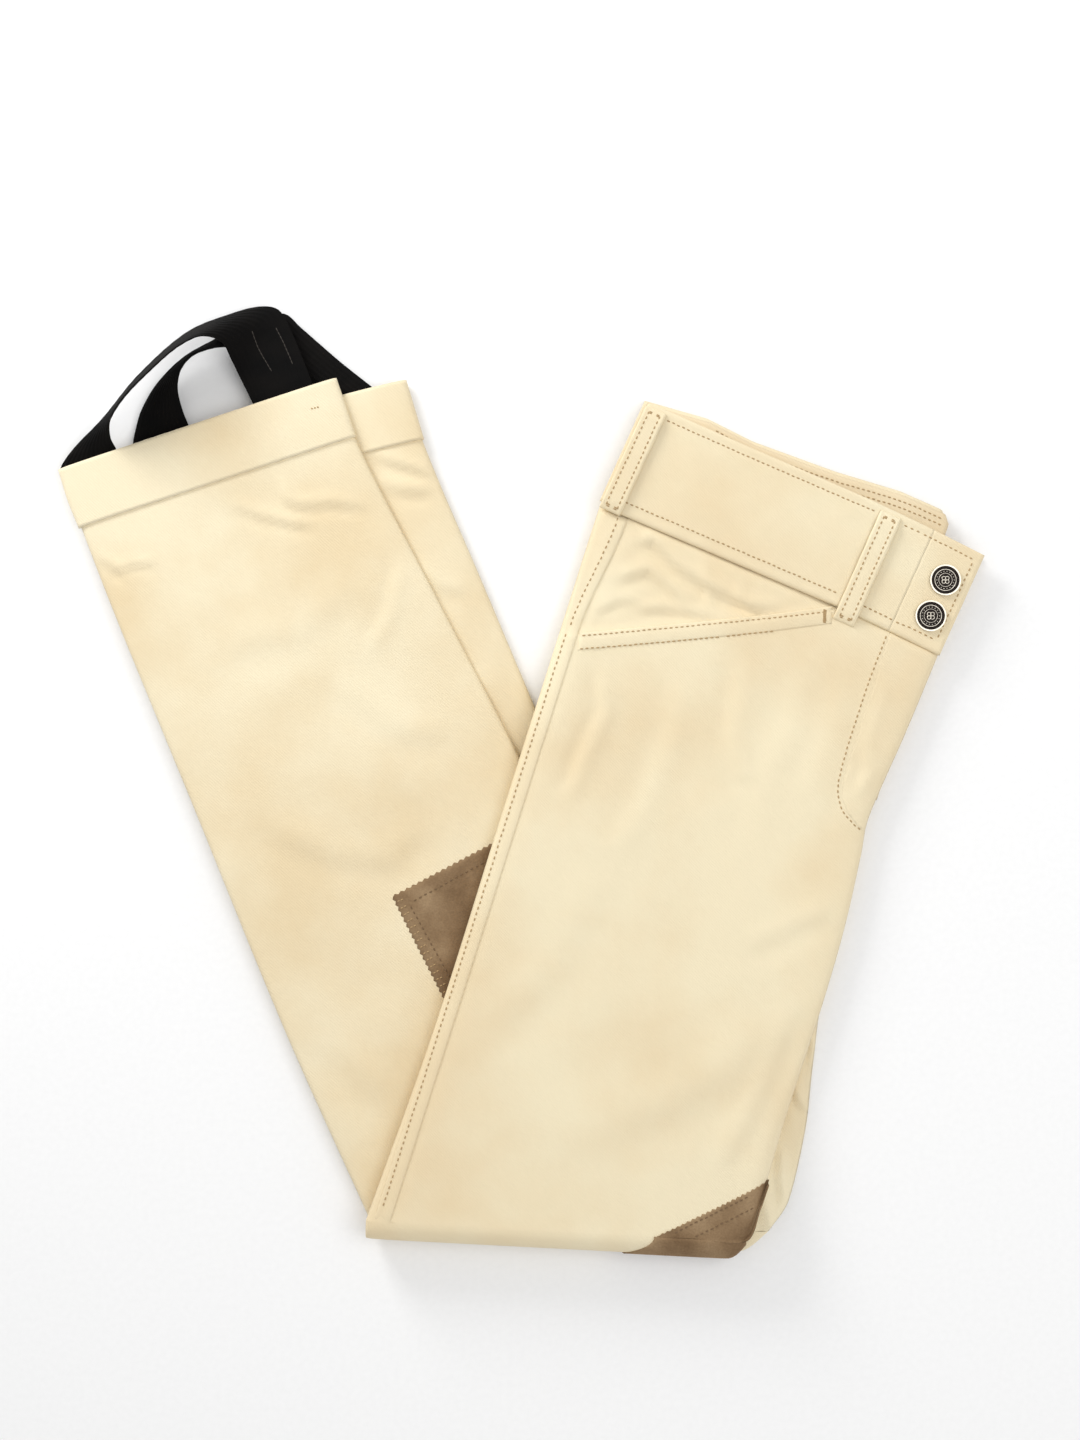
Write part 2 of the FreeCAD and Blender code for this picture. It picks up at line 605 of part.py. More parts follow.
# ---- lower legs -------------------------------------------------------------------------------------
def shin_parts(leg, fan, end):
    """Front and back panel, cuff and knee patch of one lower leg."""
    front = SHIN_LEVEL[leg + "_front"]
    back = SHIN_LEVEL[leg + "_back"]
    front_steps = STEPS[leg + "_front"]
    back_steps = STEPS[leg + "_back"]
    inner = max(front_steps, back_steps)
    low = min(front, back)
    high = max(front, back)
    outline = shin_outline(fan, end)
    place = shin_frame(fan)
    area = column(outline)
    cuff_line = (place(0, SHIN_LENGTH - CUFF_HEIGHT), place(HEM_WIDTH, SHIN_LENGTH - HEM_SLANT - CUFF_HEIGHT))
    cuff_area = side_of(*cuff_line)
    body_area = area.cut(cuff_area)
    edges = rim(outline, CLOTH)
    left = edges.common(box_area(place, -5, 5, 0, SHIN_LENGTH + 5)).cut(cuff_area)
    left = left.common(inside_fold(inner))
    inseam_side = box_area(place, HEM_WIDTH - 25, HEM_WIDTH + 90, -200, SHIN_LENGTH)
    right = edges.common(inseam_side).cut(cuff_area).common(inside_fold(inner, CLOTH))
    front_plate = flat(body_area.common(inside_fold(front_steps)), front, front + CLOTH)
    back_plate = flat(body_area.common(inside_fold(back_steps)), back, back + CLOTH)
    front_wall = flat(right, low + CLOTH, high)
    back_wall = flat(left, low + CLOTH, high)
    front_turn = fold_wall(body_area, front_steps, front, LEG_STACK)
    back_turn = fold_wall(body_area, back_steps, back, LEG_STACK)
    front_panel = joined(front_plate, front_wall, front_turn)
    back_panel = joined(back_plate, back_wall, back_turn)
    patch_area = knee_patch_area(place, SHIN_PATCH).cut(cuff_area)
    patch = front_panel.common(patch_area)
    front_panel = front_panel.cut(patch_area)
    shell = area.common(cuff_area)
    tunnel = box_area(place, CLOTH, HEM_WIDTH - CLOTH, SHIN_LENGTH - CUFF_HEIGHT - 40, SHIN_LENGTH + 20)
    cuff = flat(shell, low, high + CLOTH).cut(flat(tunnel, low + CLOTH, high))
    return front_panel, back_panel, patch, cuff


def strap_tabs(place, starts, level):
    """The two ends of a stirrup strap, sewn inside the hem."""
    tabs = []
    for u in starts:
        hem = SHIN_LENGTH - HEM_SLANT * (u + STRAP_WIDTH / 2) / HEM_WIDTH
        corners = [place(u, hem - STRAP_TAB), place(u, hem - STRAP_GAP - 1.5),
                   place(u + STRAP_WIDTH, hem - STRAP_GAP - 3.5), place(u + STRAP_WIDTH, hem - STRAP_TAB)]
        tabs.append(prism(corners, level, level + STRAP_PLY))
    return Part.makeCompound(tabs)


def strap_loop(place, stations):
    """A ribbon through stations of (across, above the hem, height, lean): lean 0 lies flat, 90 is on edge."""
    wires = []
    count = len(stations)
    for i, (u, v, z, lean) in enumerate(stations):
        before = stations[max(i - 1, 0)]
        after = stations[min(i + 1, count - 1)]
        du = after[0] - before[0]
        dv = after[1] - before[1]
        length = math.hypot(du, dv)
        left = (-dv / length, du / length)
        a = math.radians(lean)
        v = v + SHIN_LENGTH
        centre = vec(place(u, v), z)
        out = vec(place(u + left[0], v + left[1])) - vec(place(u, v))
        along = FreeCAD.Vector(out.y, -out.x, 0)
        width = out * math.cos(a) + FreeCAD.Vector(0, 0, math.sin(a))
        normal = width.cross(along)
        normal.normalize()
        w = width * (STRAP_WIDTH / 2)
        n = normal * (STRAP_PLY / 2)
        corners = [centre - w - n, centre + w - n, centre + w + n, centre - w + n]
        wires.append(Part.makePolygon(corners + [corners[0]]))
    return Part.makeLoft(wires, True, True)


# stations of each loop: across the leg, above the hem line, height and lean
LEFT_STRAP = [
    (17, 0.6, 8.8, 0),
    (17.5, 7.0, 10.0, 8),
    (23, 14.0, 14.5, 36),
    (42, 23.0, 21.0, 62),
    (68, 34.0, 24.5, 66),
    (92, 39.0, 25.5, 60),
    (115, 39.0, 25, 38),
    (129, 27.0, 20, 10),
    (131.5, 9.0, 13, 0),
    (131.5, 1.0, 10, 0),
    (131, -6.6, 8.8, 0),
]
RIGHT_STRAP = [
    (22, 0.4, 2.9, 0),
    (22.5, 6.0, 2.9, 0),
    (27, 13.0, 3.1, 2),
    (38, 21.0, 3.4, 3),
    (53, 27.0, 3.4, 3),
    (72, 29.0, 3.2, 0),
    (92, 26.0, 2.9, 0),
    (108, 18.0, 2.9, 0),
    (119, 9.0, 2.9, 0),
    (124.6, 1.0, 2.9, 0),
    (125, -6.2, 2.9, 0),
]


# ---- the object -------------------------------------------------------------------------------------
def build():
    nodes = {}
    flap = flap_area(0)
    flap_cut = flap_area(FLAP_GAP)

    patch_zone = knee_patch_area(thigh, THIGH_PATCH)
    for leg, spread in (("right", 0.0), ("left", LEG_SPREAD)):
        front = thigh_front(leg, spread)
        nodes[leg + "_thigh_back_panel"] = thigh_back(leg, spread)
        nodes[leg + "_knee_patch_upper"] = front.common(patch_zone)
        front = front.cut(patch_zone)
        front, band, side, bag = split_pocket(front, leg)
        nodes[leg + "_pocket_edge"] = band
        nodes[leg + "_hip_panel"] = side
        nodes[leg + "_pocket_bag"] = bag
        if leg == "right":
            nodes["fly_placket"] = front.common(flap)
            front = front.cut(flap_cut)
        nodes[leg + "_thigh_front_panel"] = front

    bands = {key: waistband(key) for key in BAND_LEVEL}
    nodes["waistband_tab"] = bands["right_front"].common(flap)
    nodes["right_front_waistband"] = bands["right_front"].cut(flap_cut)
    nodes["left_front_waistband"] = bands["left_front"]
    nodes["right_back_waistband"] = joined(bands["right_back"], side_join("right"))
    nodes["left_back_waistband"] = joined(bands["left_back"], side_join("left"))

    band_top = LEG_STACK
    nodes["right_front_belt_loop"] = belt_loop(147.2, 404.0, 154.8, 468.5, band_top)
    nodes["right_side_belt_loop"] = belt_loop(7.6, 424.5, 13.4, 484.0, band_top)
    nodes["left_front_belt_loop"] = flat_loop(147.2, 412.0, 154.8, 468.5, 0, BAND_LEVEL["left_front"])
    nodes["left_side_belt_loop"] = flat_loop(8.0, 427.0, 13.4, 484.0, 0, BAND_LEVEL["left_front"])
    back_gap = BAND_LEVEL["left_back"] + BAND_PLY
    nodes["centre_back_belt_loop"] = flat_loop(174.0, 421.0, 178.0, 474.0, back_gap,
                                               BAND_LEVEL["right_back"] - back_gap)

    shield, shield_band = underlap()
    nodes["fly_underlap"] = shield
    nodes["waistband_underlap"] = shield_band
    rims, faces, sockets, studs = snap_parts()
    tab = nodes["waistband_tab"]
    for centre in snap_places():
        tab = tab.cut(disc(centre, RIVET_RADIUS, 0, REACH))
    nodes["waistband_tab"] = tab
    nodes["snap_rims"] = Part.makeCompound(rims)
    nodes["snap_faces"] = Part.makeCompound(faces)
    nodes["snap_sockets"] = Part.makeCompound(sockets)
    nodes["snap_studs"] = Part.makeCompound(studs)

    gap = POST_GAP / 2
    left_in = ZIP_U - gap - TEETH_WIDTH
    right_in = ZIP_U + gap + TEETH_WIDTH
    tape_out = ZIP_U + 10.0
    nodes["right_zip_tape"] = joined(
        upright(HINGE_U - 6, left_in, ZIP_LOW, ZIP_HIGH, TAPE_LEVEL, TAPE_LEVEL + TAPE_PLY),
        upright(HINGE_U - 6, HINGE_U - 1, ZIP_LOW + J_HEIGHT * 0.5, ZIP_HIGH, TAPE_LEVEL + TAPE_PLY,
                THIGH_LEVEL["right_front"]))
    nodes["left_zip_tape"] = joined(
        upright(right_in, tape_out, ZIP_LOW, ZIP_HIGH, TAPE_LEVEL, TAPE_LEVEL + TAPE_PLY),
        upright(tape_out - 3, tape_out, ZIP_LOW, ZIP_HIGH, UNDERLAP_LEVEL + CLOTH, TAPE_LEVEL))
    nodes["right_zip_teeth"] = teeth(left_in, ZIP_U - gap)
    nodes["left_zip_teeth"] = teeth(ZIP_U + gap, right_in)
    stop_level = TAPE_LEVEL + TAPE_PLY / 2 - TEETH_PLY / 2
    nodes["zip_bottom_stop"] = upright(left_in, right_in, ZIP_LOW, ZIP_LOW + 2.2, stop_level,
                                       stop_level + TEETH_PLY)
    slider, pivot = zip_slider()
    nodes["zip_slider"] = slider
    nodes["zip_pull"] = zip_pull(pivot)

    for leg, fan, end in (("left", 0.0, FOLD_SPREAD_END), ("right", SHIN_FAN, FOLD_END)):
        front, back, patch, cuff = shin_parts(leg, fan, end)
        nodes[leg + "_shin_front_panel"] = front
        nodes[leg + "_shin_back_panel"] = back
        nodes[leg + "_knee_patch_lower"] = patch
        nodes[leg + "_hem_cuff"] = cuff
    tab_level = LEFT_STRAP[0][2] - STRAP_PLY / 2
    nodes["left_strap_tabs"] = strap_tabs(shin, [CLOTH + 0.1, 114.0], tab_level)
    nodes["left_stirrup_strap"] = strap_loop(shin, LEFT_STRAP)
    right_place = shin_frame(SHIN_FAN)
    tab_level = RIGHT_STRAP[0][2] - STRAP_PLY / 2
    nodes["right_strap_tabs"] = strap_tabs(right_place, [5.0, 108.0], tab_level)
    nodes["right_stirrup_strap"] = strap_loop(right_place, RIGHT_STRAP)
    return nodes, pivot


def main():
    nodes, pivot = build()
    box = FreeCAD.BoundBox()
    for shape in nodes.values():
        box.add(shape.optimalBoundingBox(False))
    shift = FreeCAD.Vector(-box.Center.x, -box.Center.y, -box.ZMin)
    for name, shape in nodes.items():
        shape.translate(shift)
        shape.exportStep("parts/" + name + ".step")
        print(name, "solids", len(shape.Solids), "valid", shape.isValid(), "volume", round(shape.Volume, 1))
    print("shift", shift)
    print("size", box.XLength, box.YLength, box.ZLength)
    points = {
        "knee_fold": vec(offset_line(FOLD_START, FOLD_END, -0.3)[0], HINGE_LEVEL),
        "fly_hinge": vec(thigh(HINGE_U, CROTCH[1]), LEG_STACK),
        "zip_pivot": vec(thigh(*pivot), PULL_LEVEL),
        "strap_hinge": vec(shin(0, SHIN_LENGTH), LEFT_STRAP[0][2]),
    }
    for name, point in points.items():
        print(name, point + shift)


main()
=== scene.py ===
"""Folded riding breeches: twill legs, waistband, suede knee patches and elastic stirrups round the frame.

Plan sizes are in millimetres in each leg's own frame (across, along), as on the pattern; meshes are metres.
"""

import json
import math
import random

import bmesh
import bpy
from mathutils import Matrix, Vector, noise
from mathutils.bvhtree import BVHTree


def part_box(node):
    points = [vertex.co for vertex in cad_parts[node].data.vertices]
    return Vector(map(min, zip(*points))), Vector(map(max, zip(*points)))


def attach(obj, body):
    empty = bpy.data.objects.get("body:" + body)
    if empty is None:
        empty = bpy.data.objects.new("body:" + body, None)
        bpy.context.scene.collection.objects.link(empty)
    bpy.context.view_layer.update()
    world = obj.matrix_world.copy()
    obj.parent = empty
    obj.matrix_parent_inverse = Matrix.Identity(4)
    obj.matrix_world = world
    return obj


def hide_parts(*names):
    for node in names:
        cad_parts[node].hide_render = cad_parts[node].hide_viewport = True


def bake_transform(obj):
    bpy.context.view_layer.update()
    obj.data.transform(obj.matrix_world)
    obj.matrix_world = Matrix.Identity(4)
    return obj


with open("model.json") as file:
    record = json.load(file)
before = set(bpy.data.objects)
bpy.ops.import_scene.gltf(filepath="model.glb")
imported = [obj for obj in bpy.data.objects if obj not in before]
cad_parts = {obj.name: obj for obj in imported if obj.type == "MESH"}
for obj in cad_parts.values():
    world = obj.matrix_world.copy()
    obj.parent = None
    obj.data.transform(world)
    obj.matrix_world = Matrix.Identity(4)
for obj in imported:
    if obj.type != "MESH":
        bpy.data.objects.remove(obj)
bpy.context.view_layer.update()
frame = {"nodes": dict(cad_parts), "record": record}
MM = 0.001
DICE = random.Random(7)

# ---- sizes -------------------------------------------------------------------------------------
STACK = 11.7                # two legs on each other
BASE = 12.0                 # the thighs over the lower legs
THIGH_TURN = -17.7
SHIN_TURN = 21.8
FAN = 4.6
SEAM_FRONT = (203.5, 402.0)
SEAM_SIDE = (0.0, 424.0)
CROTCH = (194.0, 299.0)
KNEE_END = (201.0, 52.8)
SPREAD_END = (213.0, 60.0)
UNDER_END = (203.0, 53.4)
SHIN_LENGTH = 457.0
HEM_WIDTH = 160.0
HEM_SLANT = 10.0
CUFF = 34.0
HINGE_U = 174.0
FOLD_DEPTH = 12.0           # the knee's bend starts this far inside the fold
CELL = 2.8                  # mesh size of the cloth
DRAPE_RUN = 36.0

joints = {j["name"]: j for j in frame["record"]["behaviour"]["joints"]}
fold = joints["knee_fold"]
FOLD_DIR = Vector((fold["axis"][0], fold["axis"][1], 0)).normalized()
FOLD_IN = Vector((-FOLD_DIR.y, FOLD_DIR.x, 0))
KNEE = Vector(fold["pos_m"]) / MM + FOLD_IN * 0.3
KNEE.z = 0


def plan_frame(turn):
    a = math.radians(turn)
    across = Vector((math.cos(a), math.sin(a), 0))
    along = Vector((-math.sin(a), math.cos(a), 0))
    return lambda u, v: KNEE + across * u + along * v


thigh = plan_frame(THIGH_TURN)
shin = plan_frame(SHIN_TURN)
shin_r = plan_frame(SHIN_TURN - FAN)


def local(turn, p):
    """The (across, along) of a plan point in a leg's frame."""
    a = math.radians(turn)
    d = Vector((p[0] - KNEE.x, p[1] - KNEE.y))
    return d.x * math.cos(a) + d.y * math.sin(a), -d.x * math.sin(a) + d.y * math.cos(a)


def smooth(t):
    t = min(max(t, 0.0), 1.0)
    return t * t * (3 - 2 * t)


def curve_through(points, count):
    """Evenly spaced points on a smooth curve through the given ones."""
    pts = [Vector(p) for p in points]
    fine = []
    steps = 24
    for i in range(len(pts) - 1):
        p0 = pts[max(i - 1, 0)]
        p1 = pts[i]
        p2 = pts[i + 1]
        p3 = pts[min(i + 2, len(pts) - 1)]
        span = (p2 - p1).length
        m1 = (p2 - p0) * (span / max((p2 - p1).length + (p1 - p0).length, 1e-6))
        m2 = (p3 - p1) * (span / max((p3 - p2).length + (p2 - p1).length, 1e-6))
        for k in range(steps):
            t = k / steps
            a = 2 * t**3 - 3 * t**2 + 1
            b = t**3 - 2 * t**2 + t
            c = -2 * t**3 + 3 * t**2
            d = t**3 - t**2
            fine.append(p1 * a + m1 * b + p2 * c + m2 * d)
    fine.append(pts[-1])
    lengths = [0.0]
    for a, b in zip(fine, fine[1:]):
        lengths.append(lengths[-1] + (b - a).length)
    out = []
    k = 0
    for i in range(count):
        want = lengths[-1] * i / (count - 1)
        while k < len(fine) - 2 and lengths[k + 1] < want:
            k += 1
        gap = lengths[k + 1] - lengths[k]
        t = (want - lengths[k]) / gap if gap > 0 else 0
        out.append(fine[k].lerp(fine[k + 1], t))
    return out


SHIN_EDGE_A = shin(HEM_WIDTH + 43, -93)
SHIN_EDGE_B = shin(HEM_WIDTH + 23, 241)
SHIN_EDGE_DIR = (SHIN_EDGE_B - SHIN_EDGE_A).normalized()
SHIN_EDGE_OUT = Vector((SHIN_EDGE_DIR.y, -SHIN_EDGE_DIR.x, 0))


def past_shin(p):
    """How far a plan point lies past the inseam edge of the lower legs."""
    return (Vector((p[0], p[1], 0)) - SHIN_EDGE_A).dot(SHIN_EDGE_OUT)


def base(p, run=DRAPE_RUN):
    """Height of the surface that the thighs lie on."""
    return BASE * (1 - smooth((past_shin(p) - 2.0) / run))


# ---- creases -----------------------------------------------------------------------------------
def distance_to(path, u, v):
    """Signed distance to a path, and how far along it, from 0 to 1."""
    best = (1e9, 0.0, 0.0)
    count = len(path) - 1
    for i in range(count):
        ax, ay = path[i]
        bx, by = path[i + 1]
        dx = bx - ax
        dy = by - ay
        t = ((u - ax) * dx + (v - ay) * dy) / (dx * dx + dy * dy)
        inside = min(max(t, 0.0), 1.0)
        ex = u - ax - dx * inside
        ey = v - ay - dy * inside
        d = math.hypot(ex, ey)
        if d < best[0]:
            side = 1 if dx * ey - dy * ex > 0 else -1
            best = (d, side, (i + inside) / count)
    return best


def creases(rows, u, v):
    """Sum of creases: each is path, width and height; a ridge on its left beside a shallower valley."""
    total = 0.0
    for path, width, height in rows:
        d, side, t = distance_to(path, u, v)
        if d > 3.2 * width:
            continue
        ends = smooth(t / 0.22) * smooth((1 - t) / 0.22)
        s = d * side
        ridge = math.exp(-((s - width * 0.55) / width) ** 2)
        valley = math.exp(-((s + width * 0.55) / width) ** 2)
        total += 1.5 * height * ends * (ridge - 0.8 * valley)
    return total


def swell(p, size, seed):
    """Slow uneven rise and fall of cloth, from -1 to 1."""
    return noise.noise(Vector((p[0] / size + seed, p[1] / size - seed, seed * 1.7)))


THIGH_CREASES = [
    ([(24, 342), (35, 318), (31, 284), (31, 262)], 5.0, 0.9),
    ([(94, 369), (102, 352), (106, 324), (118, 305), (127, 300)], 6.5, 0.8),
    ([(66, 352), (74, 320), (70, 275), (60, 240)], 8.0, 0.6),
    ([(127, 385), (134, 345), (128, 305), (136, 260)], 9.0, 0.45),
    ([(150, 385), (156, 340), (150, 300)], 8.0, 0.35),
    ([(177, 392), (177, 344), (184, 330), (181, 312)], 4.5, 0.8),
    ([(60, 40), (110, 90), (168, 150), (185, 190)], 14.0, 0.8),
    ([(30, 120), (60, 180), (66, 240)], 12.0, 0.5),
    ([(193, 62), (176, 100), (186, 150), (190, 205)], 7.0, 0.8),
    ([(150, 210), (176, 236), (193, 250)], 7.0, 0.6),
]
HIP_CREASES = [
    ([(22, 408), (33, 414), (52, 404), (72, 399), (99, 396), (119, 402)], 3.4, 1.1),
    ([(18, 385), (36, 398), (50, 392), (64, 384)], 3.4, 0.9),
    ([(30, 372), (52, 381), (80, 384), (104, 390)], 3.0, 0.8),
    ([(60, 410), (70, 399), (74, 388)], 2.8, 0.8),
    ([(84, 409), (88, 398), (99, 392)], 2.6, 0.7),
    ([(14, 366), (28, 378), (40, 380)], 3.0, 0.6),
]
SHIN_CREASES = [
    ([(77, 406), (93, 391), (109, 380), (121, 374)], 3.0, 1.0),
    ([(109, 412), (109, 394), (115, 388), (133, 383), (156, 370)], 3.4, 1.0),
    ([(2, 394), (19, 392), (33, 387)], 2.6, 0.7),
    ([(0, 404), (8, 396), (12, 384)], 3.0, 0.6),
    ([(20, 240), (60, 200), (90, 185), (120, 200)], 9.0, 0.7),
    ([(90, 300), (120, 250), (150, 235)], 9.0, 0.6),
    ([(40, 330), (90, 320), (140, 335)], 10.0, 0.5),
    ([(10, 120), (40, 60), (70, 20)], 10.0, 0.6),
    ([(158, 345), (140, 318), (118, 300)], 5.0, 0.6),
]
UNDER_SHIN_CREASES = [
    ([(118, 420), (132, 410), (150, 398), (160, 390)], 3.2, 1.0),
    ([(124, 398), (140, 388), (158, 382)], 4.0, 0.9),
    ([(130, 350), (145, 330), (158, 322)], 5.0, 0.6),
    ([(128, 300), (150, 270), (158, 240)], 6.0, 0.6),
]
UNDER_THIGH_CREASES = [
    ([(190, 185), (203, 175), (213, 150), (215, 120)], 3.4, 1.2),
    ([(199, 150), (206, 142), (212, 138)], 2.2, 1.4),
    ([(202, 118), (207, 100), (214, 84)], 2.6, 1.2),
    ([(196, 92), (206, 76), (212, 66)], 3.0, 0.9),
]


# ---- meshes ------------------------------------------------------------------------------------
def new_object(name, verts, faces, smooth_shade=True):
    mesh = bpy.data.meshes.new(name)
    mesh.from_pydata([tuple(Vector(v) * MM) for v in verts], [], faces)
    mesh.update()
    if smooth_shade:
        mesh.polygons.foreach_set("use_smooth", [True] * len(mesh.polygons))
    obj = bpy.data.objects.new(name, mesh)
    bpy.context.scene.collection.objects.link(obj)
    return obj


def grid_faces(rows, cols, start=0, closed=False):
    faces = []
    width = cols if closed else cols + 1
    for i in range(rows):
        for j in range(cols):
            a = start + i * width + j
            b = start + i * width + (j + 1) % width
            faces.append((a, b, b + width, a + width))
    return faces


def spread(j, count):
    """Columns across a leg, closer together at its edges."""
    t = j / count
    return 0.55 * t + 0.45 * (0.5 - 0.5 * math.cos(math.pi * t))


def roundness(r, power=16.0):
    """Height of a leg's cross-section from its middle plane, 1 over most of the width and 0 at the edges."""
    x = min(abs(2 * r - 1), 1.0)
    return (1 - x**power) ** (1 / 2.2)


def ring(left, right, cols, top, bottom):
    """One closed cross-section: over the top from left to right, and back underneath."""
    verts = []
    order = [(j, True) for j in range(cols + 1)] + [(j, False) for j in range(cols - 1, 0, -1)]
    for j, over in order:
        r = spread(j, cols)
        t = top(left, right, r)
        b = bottom(left, right, r)
        mid = (t + b) / 2
        verts.append(mid + (t - mid if over else b - mid) * roundness(r))
    return verts


def leg_part(name, left_points, right_points, top_height, bottom_height, cols, cell=CELL, lips=0.0):
    """A flattened tube of cloth between two edge curves; lips turns its ends in by that much."""
    rows = int((Vector(left_points[0]) - Vector(left_points[-1])).length / cell)
    left = curve_through(left_points, rows + 1)
    right = curve_through(right_points, rows + 1)

    def raised(height):
        def at(a, b, r):
            p = a.lerp(b, r)
            return Vector((p.x, p.y, height(p)))
        return at

    verts = []
    for a, b in zip(left, right):
        verts += ring(a, b, cols, raised(top_height), raised(bottom_height))
    if lips:
        for end in (0, rows):
            line = verts[end * 2 * cols:(end + 1) * 2 * cols] if end == 0 else verts[-2 * cols:]
            a = left[end]
            b = right[end]
            way = (b - a).normalized()
            inner = []
            for k, v in enumerate(line):
                twin = line[(2 * cols - k) % (2 * cols)]
                half = twin - v
                half.z = half.z if abs(half.z) < 2 * lips else math.copysign(2 * lips, half.z)
                r = (v - a).dot(way) / (b - a).length
                inner.append(v + Vector((0, 0, half.z / 2)) + way * lips
                             * (1 if r < 0.02 else -1 if r > 0.98 else 0))
            verts = inner + verts if end == 0 else verts + inner
            rows_now = len(verts) // (2 * cols) - 1
        rows = rows_now
    return new_object(name, verts, grid_faces(rows, 2 * cols, closed=True))


def corner_in(r, angle):
    """The fold's inseam corner is rounded off."""
    return 7.0 * max(0.0, (r - 0.955) / 0.045) ** 2 * math.cos(angle)


def knee_bend(name, shin_end, thigh_end, levels, depths, cols):
    """The bend at the knee: each of the leg's two plies turns half round the fold as its own piece."""
    steps = 18
    verts = []
    for k in range(steps + 1):
        angle = math.pi * (k / steps - 0.5)
        end = shin_end.lerp(thigh_end, k / steps)

        def ply(low, high, depth):
            mid = (low + high) / 2
            inward = FOLD_DEPTH - depth * math.cos(angle)
            z = mid + (high - low) / 2 * math.sin(angle)

            def at(a, b, r):
                p = a.lerp(b, r) + FOLD_IN * (inward + corner_in(r, angle))
                return Vector((p.x, p.y, z))
            return at

        outer = ply(*levels[0], depths[0])
        inner = ply(*levels[1], depths[1])
        verts.append(ring(KNEE, end, cols, outer, inner))
    over = [line[:cols + 1] for line in verts]
    under = [line[cols:] + line[:1] for line in verts]
    return [new_object(name + ending, sum(lines, []), grid_faces(steps, cols))
            for ending, lines in (("_outer_ply", over), ("_inner_ply", under))]


def surface_of(*objects):
    """Looks straight down on to pieces: returns a height in millimetres, or None."""
    verts = []
    faces = []
    for o in objects:
        start = len(verts)
        verts += [v.co / MM for v in o.data.vertices]
        faces += [[start + i for i in p.vertices] for p in o.data.polygons]
    tree = BVHTree.FromPolygons(verts, faces)

    def height(p, default=None):
        hit = tree.ray_cast(Vector((p[0], p[1], 400.0)), Vector((0, 0, -1)))
        return hit[0].z if hit[0] is not None else default
    return height


def slab(name, grid, under, thickness, lift=0.0, edge=0.7, square=()):
    """A thin ply on a surface: grid is rows of plan points, thickness its height above the surface.

    Its edges are turned down, except those named in square (first or last column), and its underside
    follows the surface.
    """
    rows = len(grid) - 1
    cols = len(grid[0]) - 1
    top = []
    bottom = []
    last = 0.0
    for i, line in enumerate(grid):
        for j, p in enumerate(line):
            z = under(p, last)
            last = z
            rise = thickness(i / rows, j / cols, p) if callable(thickness) else thickness
            side = (j == 0 and "first" not in square) or (j == cols and "last" not in square)
            border = i in (0, rows) or side
            top.append(Vector((p[0], p[1], z + lift + (rise * (1 - edge) if border else rise))))
            bottom.append(Vector((p[0], p[1], z + lift)))
    verts = top + bottom
    faces = grid_faces(rows, cols)
    shift = len(top)
    faces += [tuple(reversed([i + shift for i in f])) for f in grid_faces(rows, cols)]
    width = cols + 1
    loop = [j for j in range(cols)] + [i * width + cols for i in range(rows)]
    loop += [rows * width + j for j in range(cols, 0, -1)] + [i * width for i in range(rows, 0, -1)]
    for a, b in zip(loop, loop[1:] + loop[:1]):
        faces.append((b, a, a + shift, b + shift))
    obj = new_object(name, verts, faces)
    return fix_normals(obj)


def fix_normals(obj):
    bm = bmesh.new()
    bm.from_mesh(obj.data)
    bmesh.ops.recalc_face_normals(bm, faces=bm.faces)
    bm.to_mesh(obj.data)
    bm.free()
    return obj


def area_grid(place, low_left, low_right, high_right, high_left, rows, cols, ease=True):
    """Rows of plan points over a four-cornered area in a leg's frame; outer cells are narrow for edges."""
    def eased(i, n):
        if not ease:
            return i / n
        t = i / n
        return 0.6 * t + 0.4 * (0.5 - 0.5 * math.cos(math.pi * t))

    out = []
    for i in range(rows + 1):
        s = eased(i, rows)
        line = []
        for j in range(cols + 1):
            r = eased(j, cols)
            low = [a * (1 - r) + b * r for a, b in zip(low_left, low_right)]
            high = [a * (1 - r) + b * r for a, b in zip(high_left, high_right)]
            line.append(place(*(a * (1 - s) + b * s for a, b in zip(low, high))))
        out.append(line)
    return out


def stitches(rows, height, pitch=3.0, length=2.2, width=0.42, lift=0.12, wobble=0.12):
    """Raised thread dashes along plan paths; returns verts and faces to join into one piece."""
    verts = []
    faces = []
    for path in rows:
        total = sum((Vector(b) - Vector(a)).length for a, b in zip(path, path[1:]))
        count = max(int(total / pitch), 2)
        points = curve_through(path, count * 2 + 1)
        for i in range(count):
            a = points[2 * i]
            b = points[2 * i + 2]
            centre = points[2 * i + 1]
            along = (b - a).normalized()
            half = along * (length / 2)
            across = Vector((-along.y, along.x, 0))
            centre = centre + across * DICE.uniform(-wobble, wobble)
            z0 = height(centre - half)
            z1 = height(centre + half)
            if z0 is None or z1 is None:
                continue
            start = Vector((centre.x, centre.y, 0)) - half
            end = Vector((centre.x, centre.y, 0)) + half
            start.z = z0 + lift
            end.z = z1 + lift
            first = len(verts)
            for t, size in ((0.0, 0.0), (0.16, 0.85), (0.5, 1.0), (0.84, 0.85), (1.0, 0.0)):
                c = start.lerp(end, t)
                drop = Vector((0, 0, -0.35 * (2 * t - 1) ** 2))
                if size == 0.0:
                    verts.append(c + drop)
                    continue
                for k in range(6):
                    ang = math.pi * k / 3
                    verts.append(c + drop + across * (math.cos(ang) * width * size)
                                 + Vector((0, 0, math.sin(ang) * width * 0.75 * size)))
            for k in range(6):
                n = (k + 1) % 6
                faces.append((first, first + 1 + n, first + 1 + k))
                faces.append((first + 1 + k, first + 1 + n, first + 7 + n, first + 7 + k))
                faces.append((first + 7 + k, first + 7 + n, first + 13 + n, first + 13 + k))
                faces.append((first + 13 + k, first + 13 + n, first + 19))
    return verts, faces


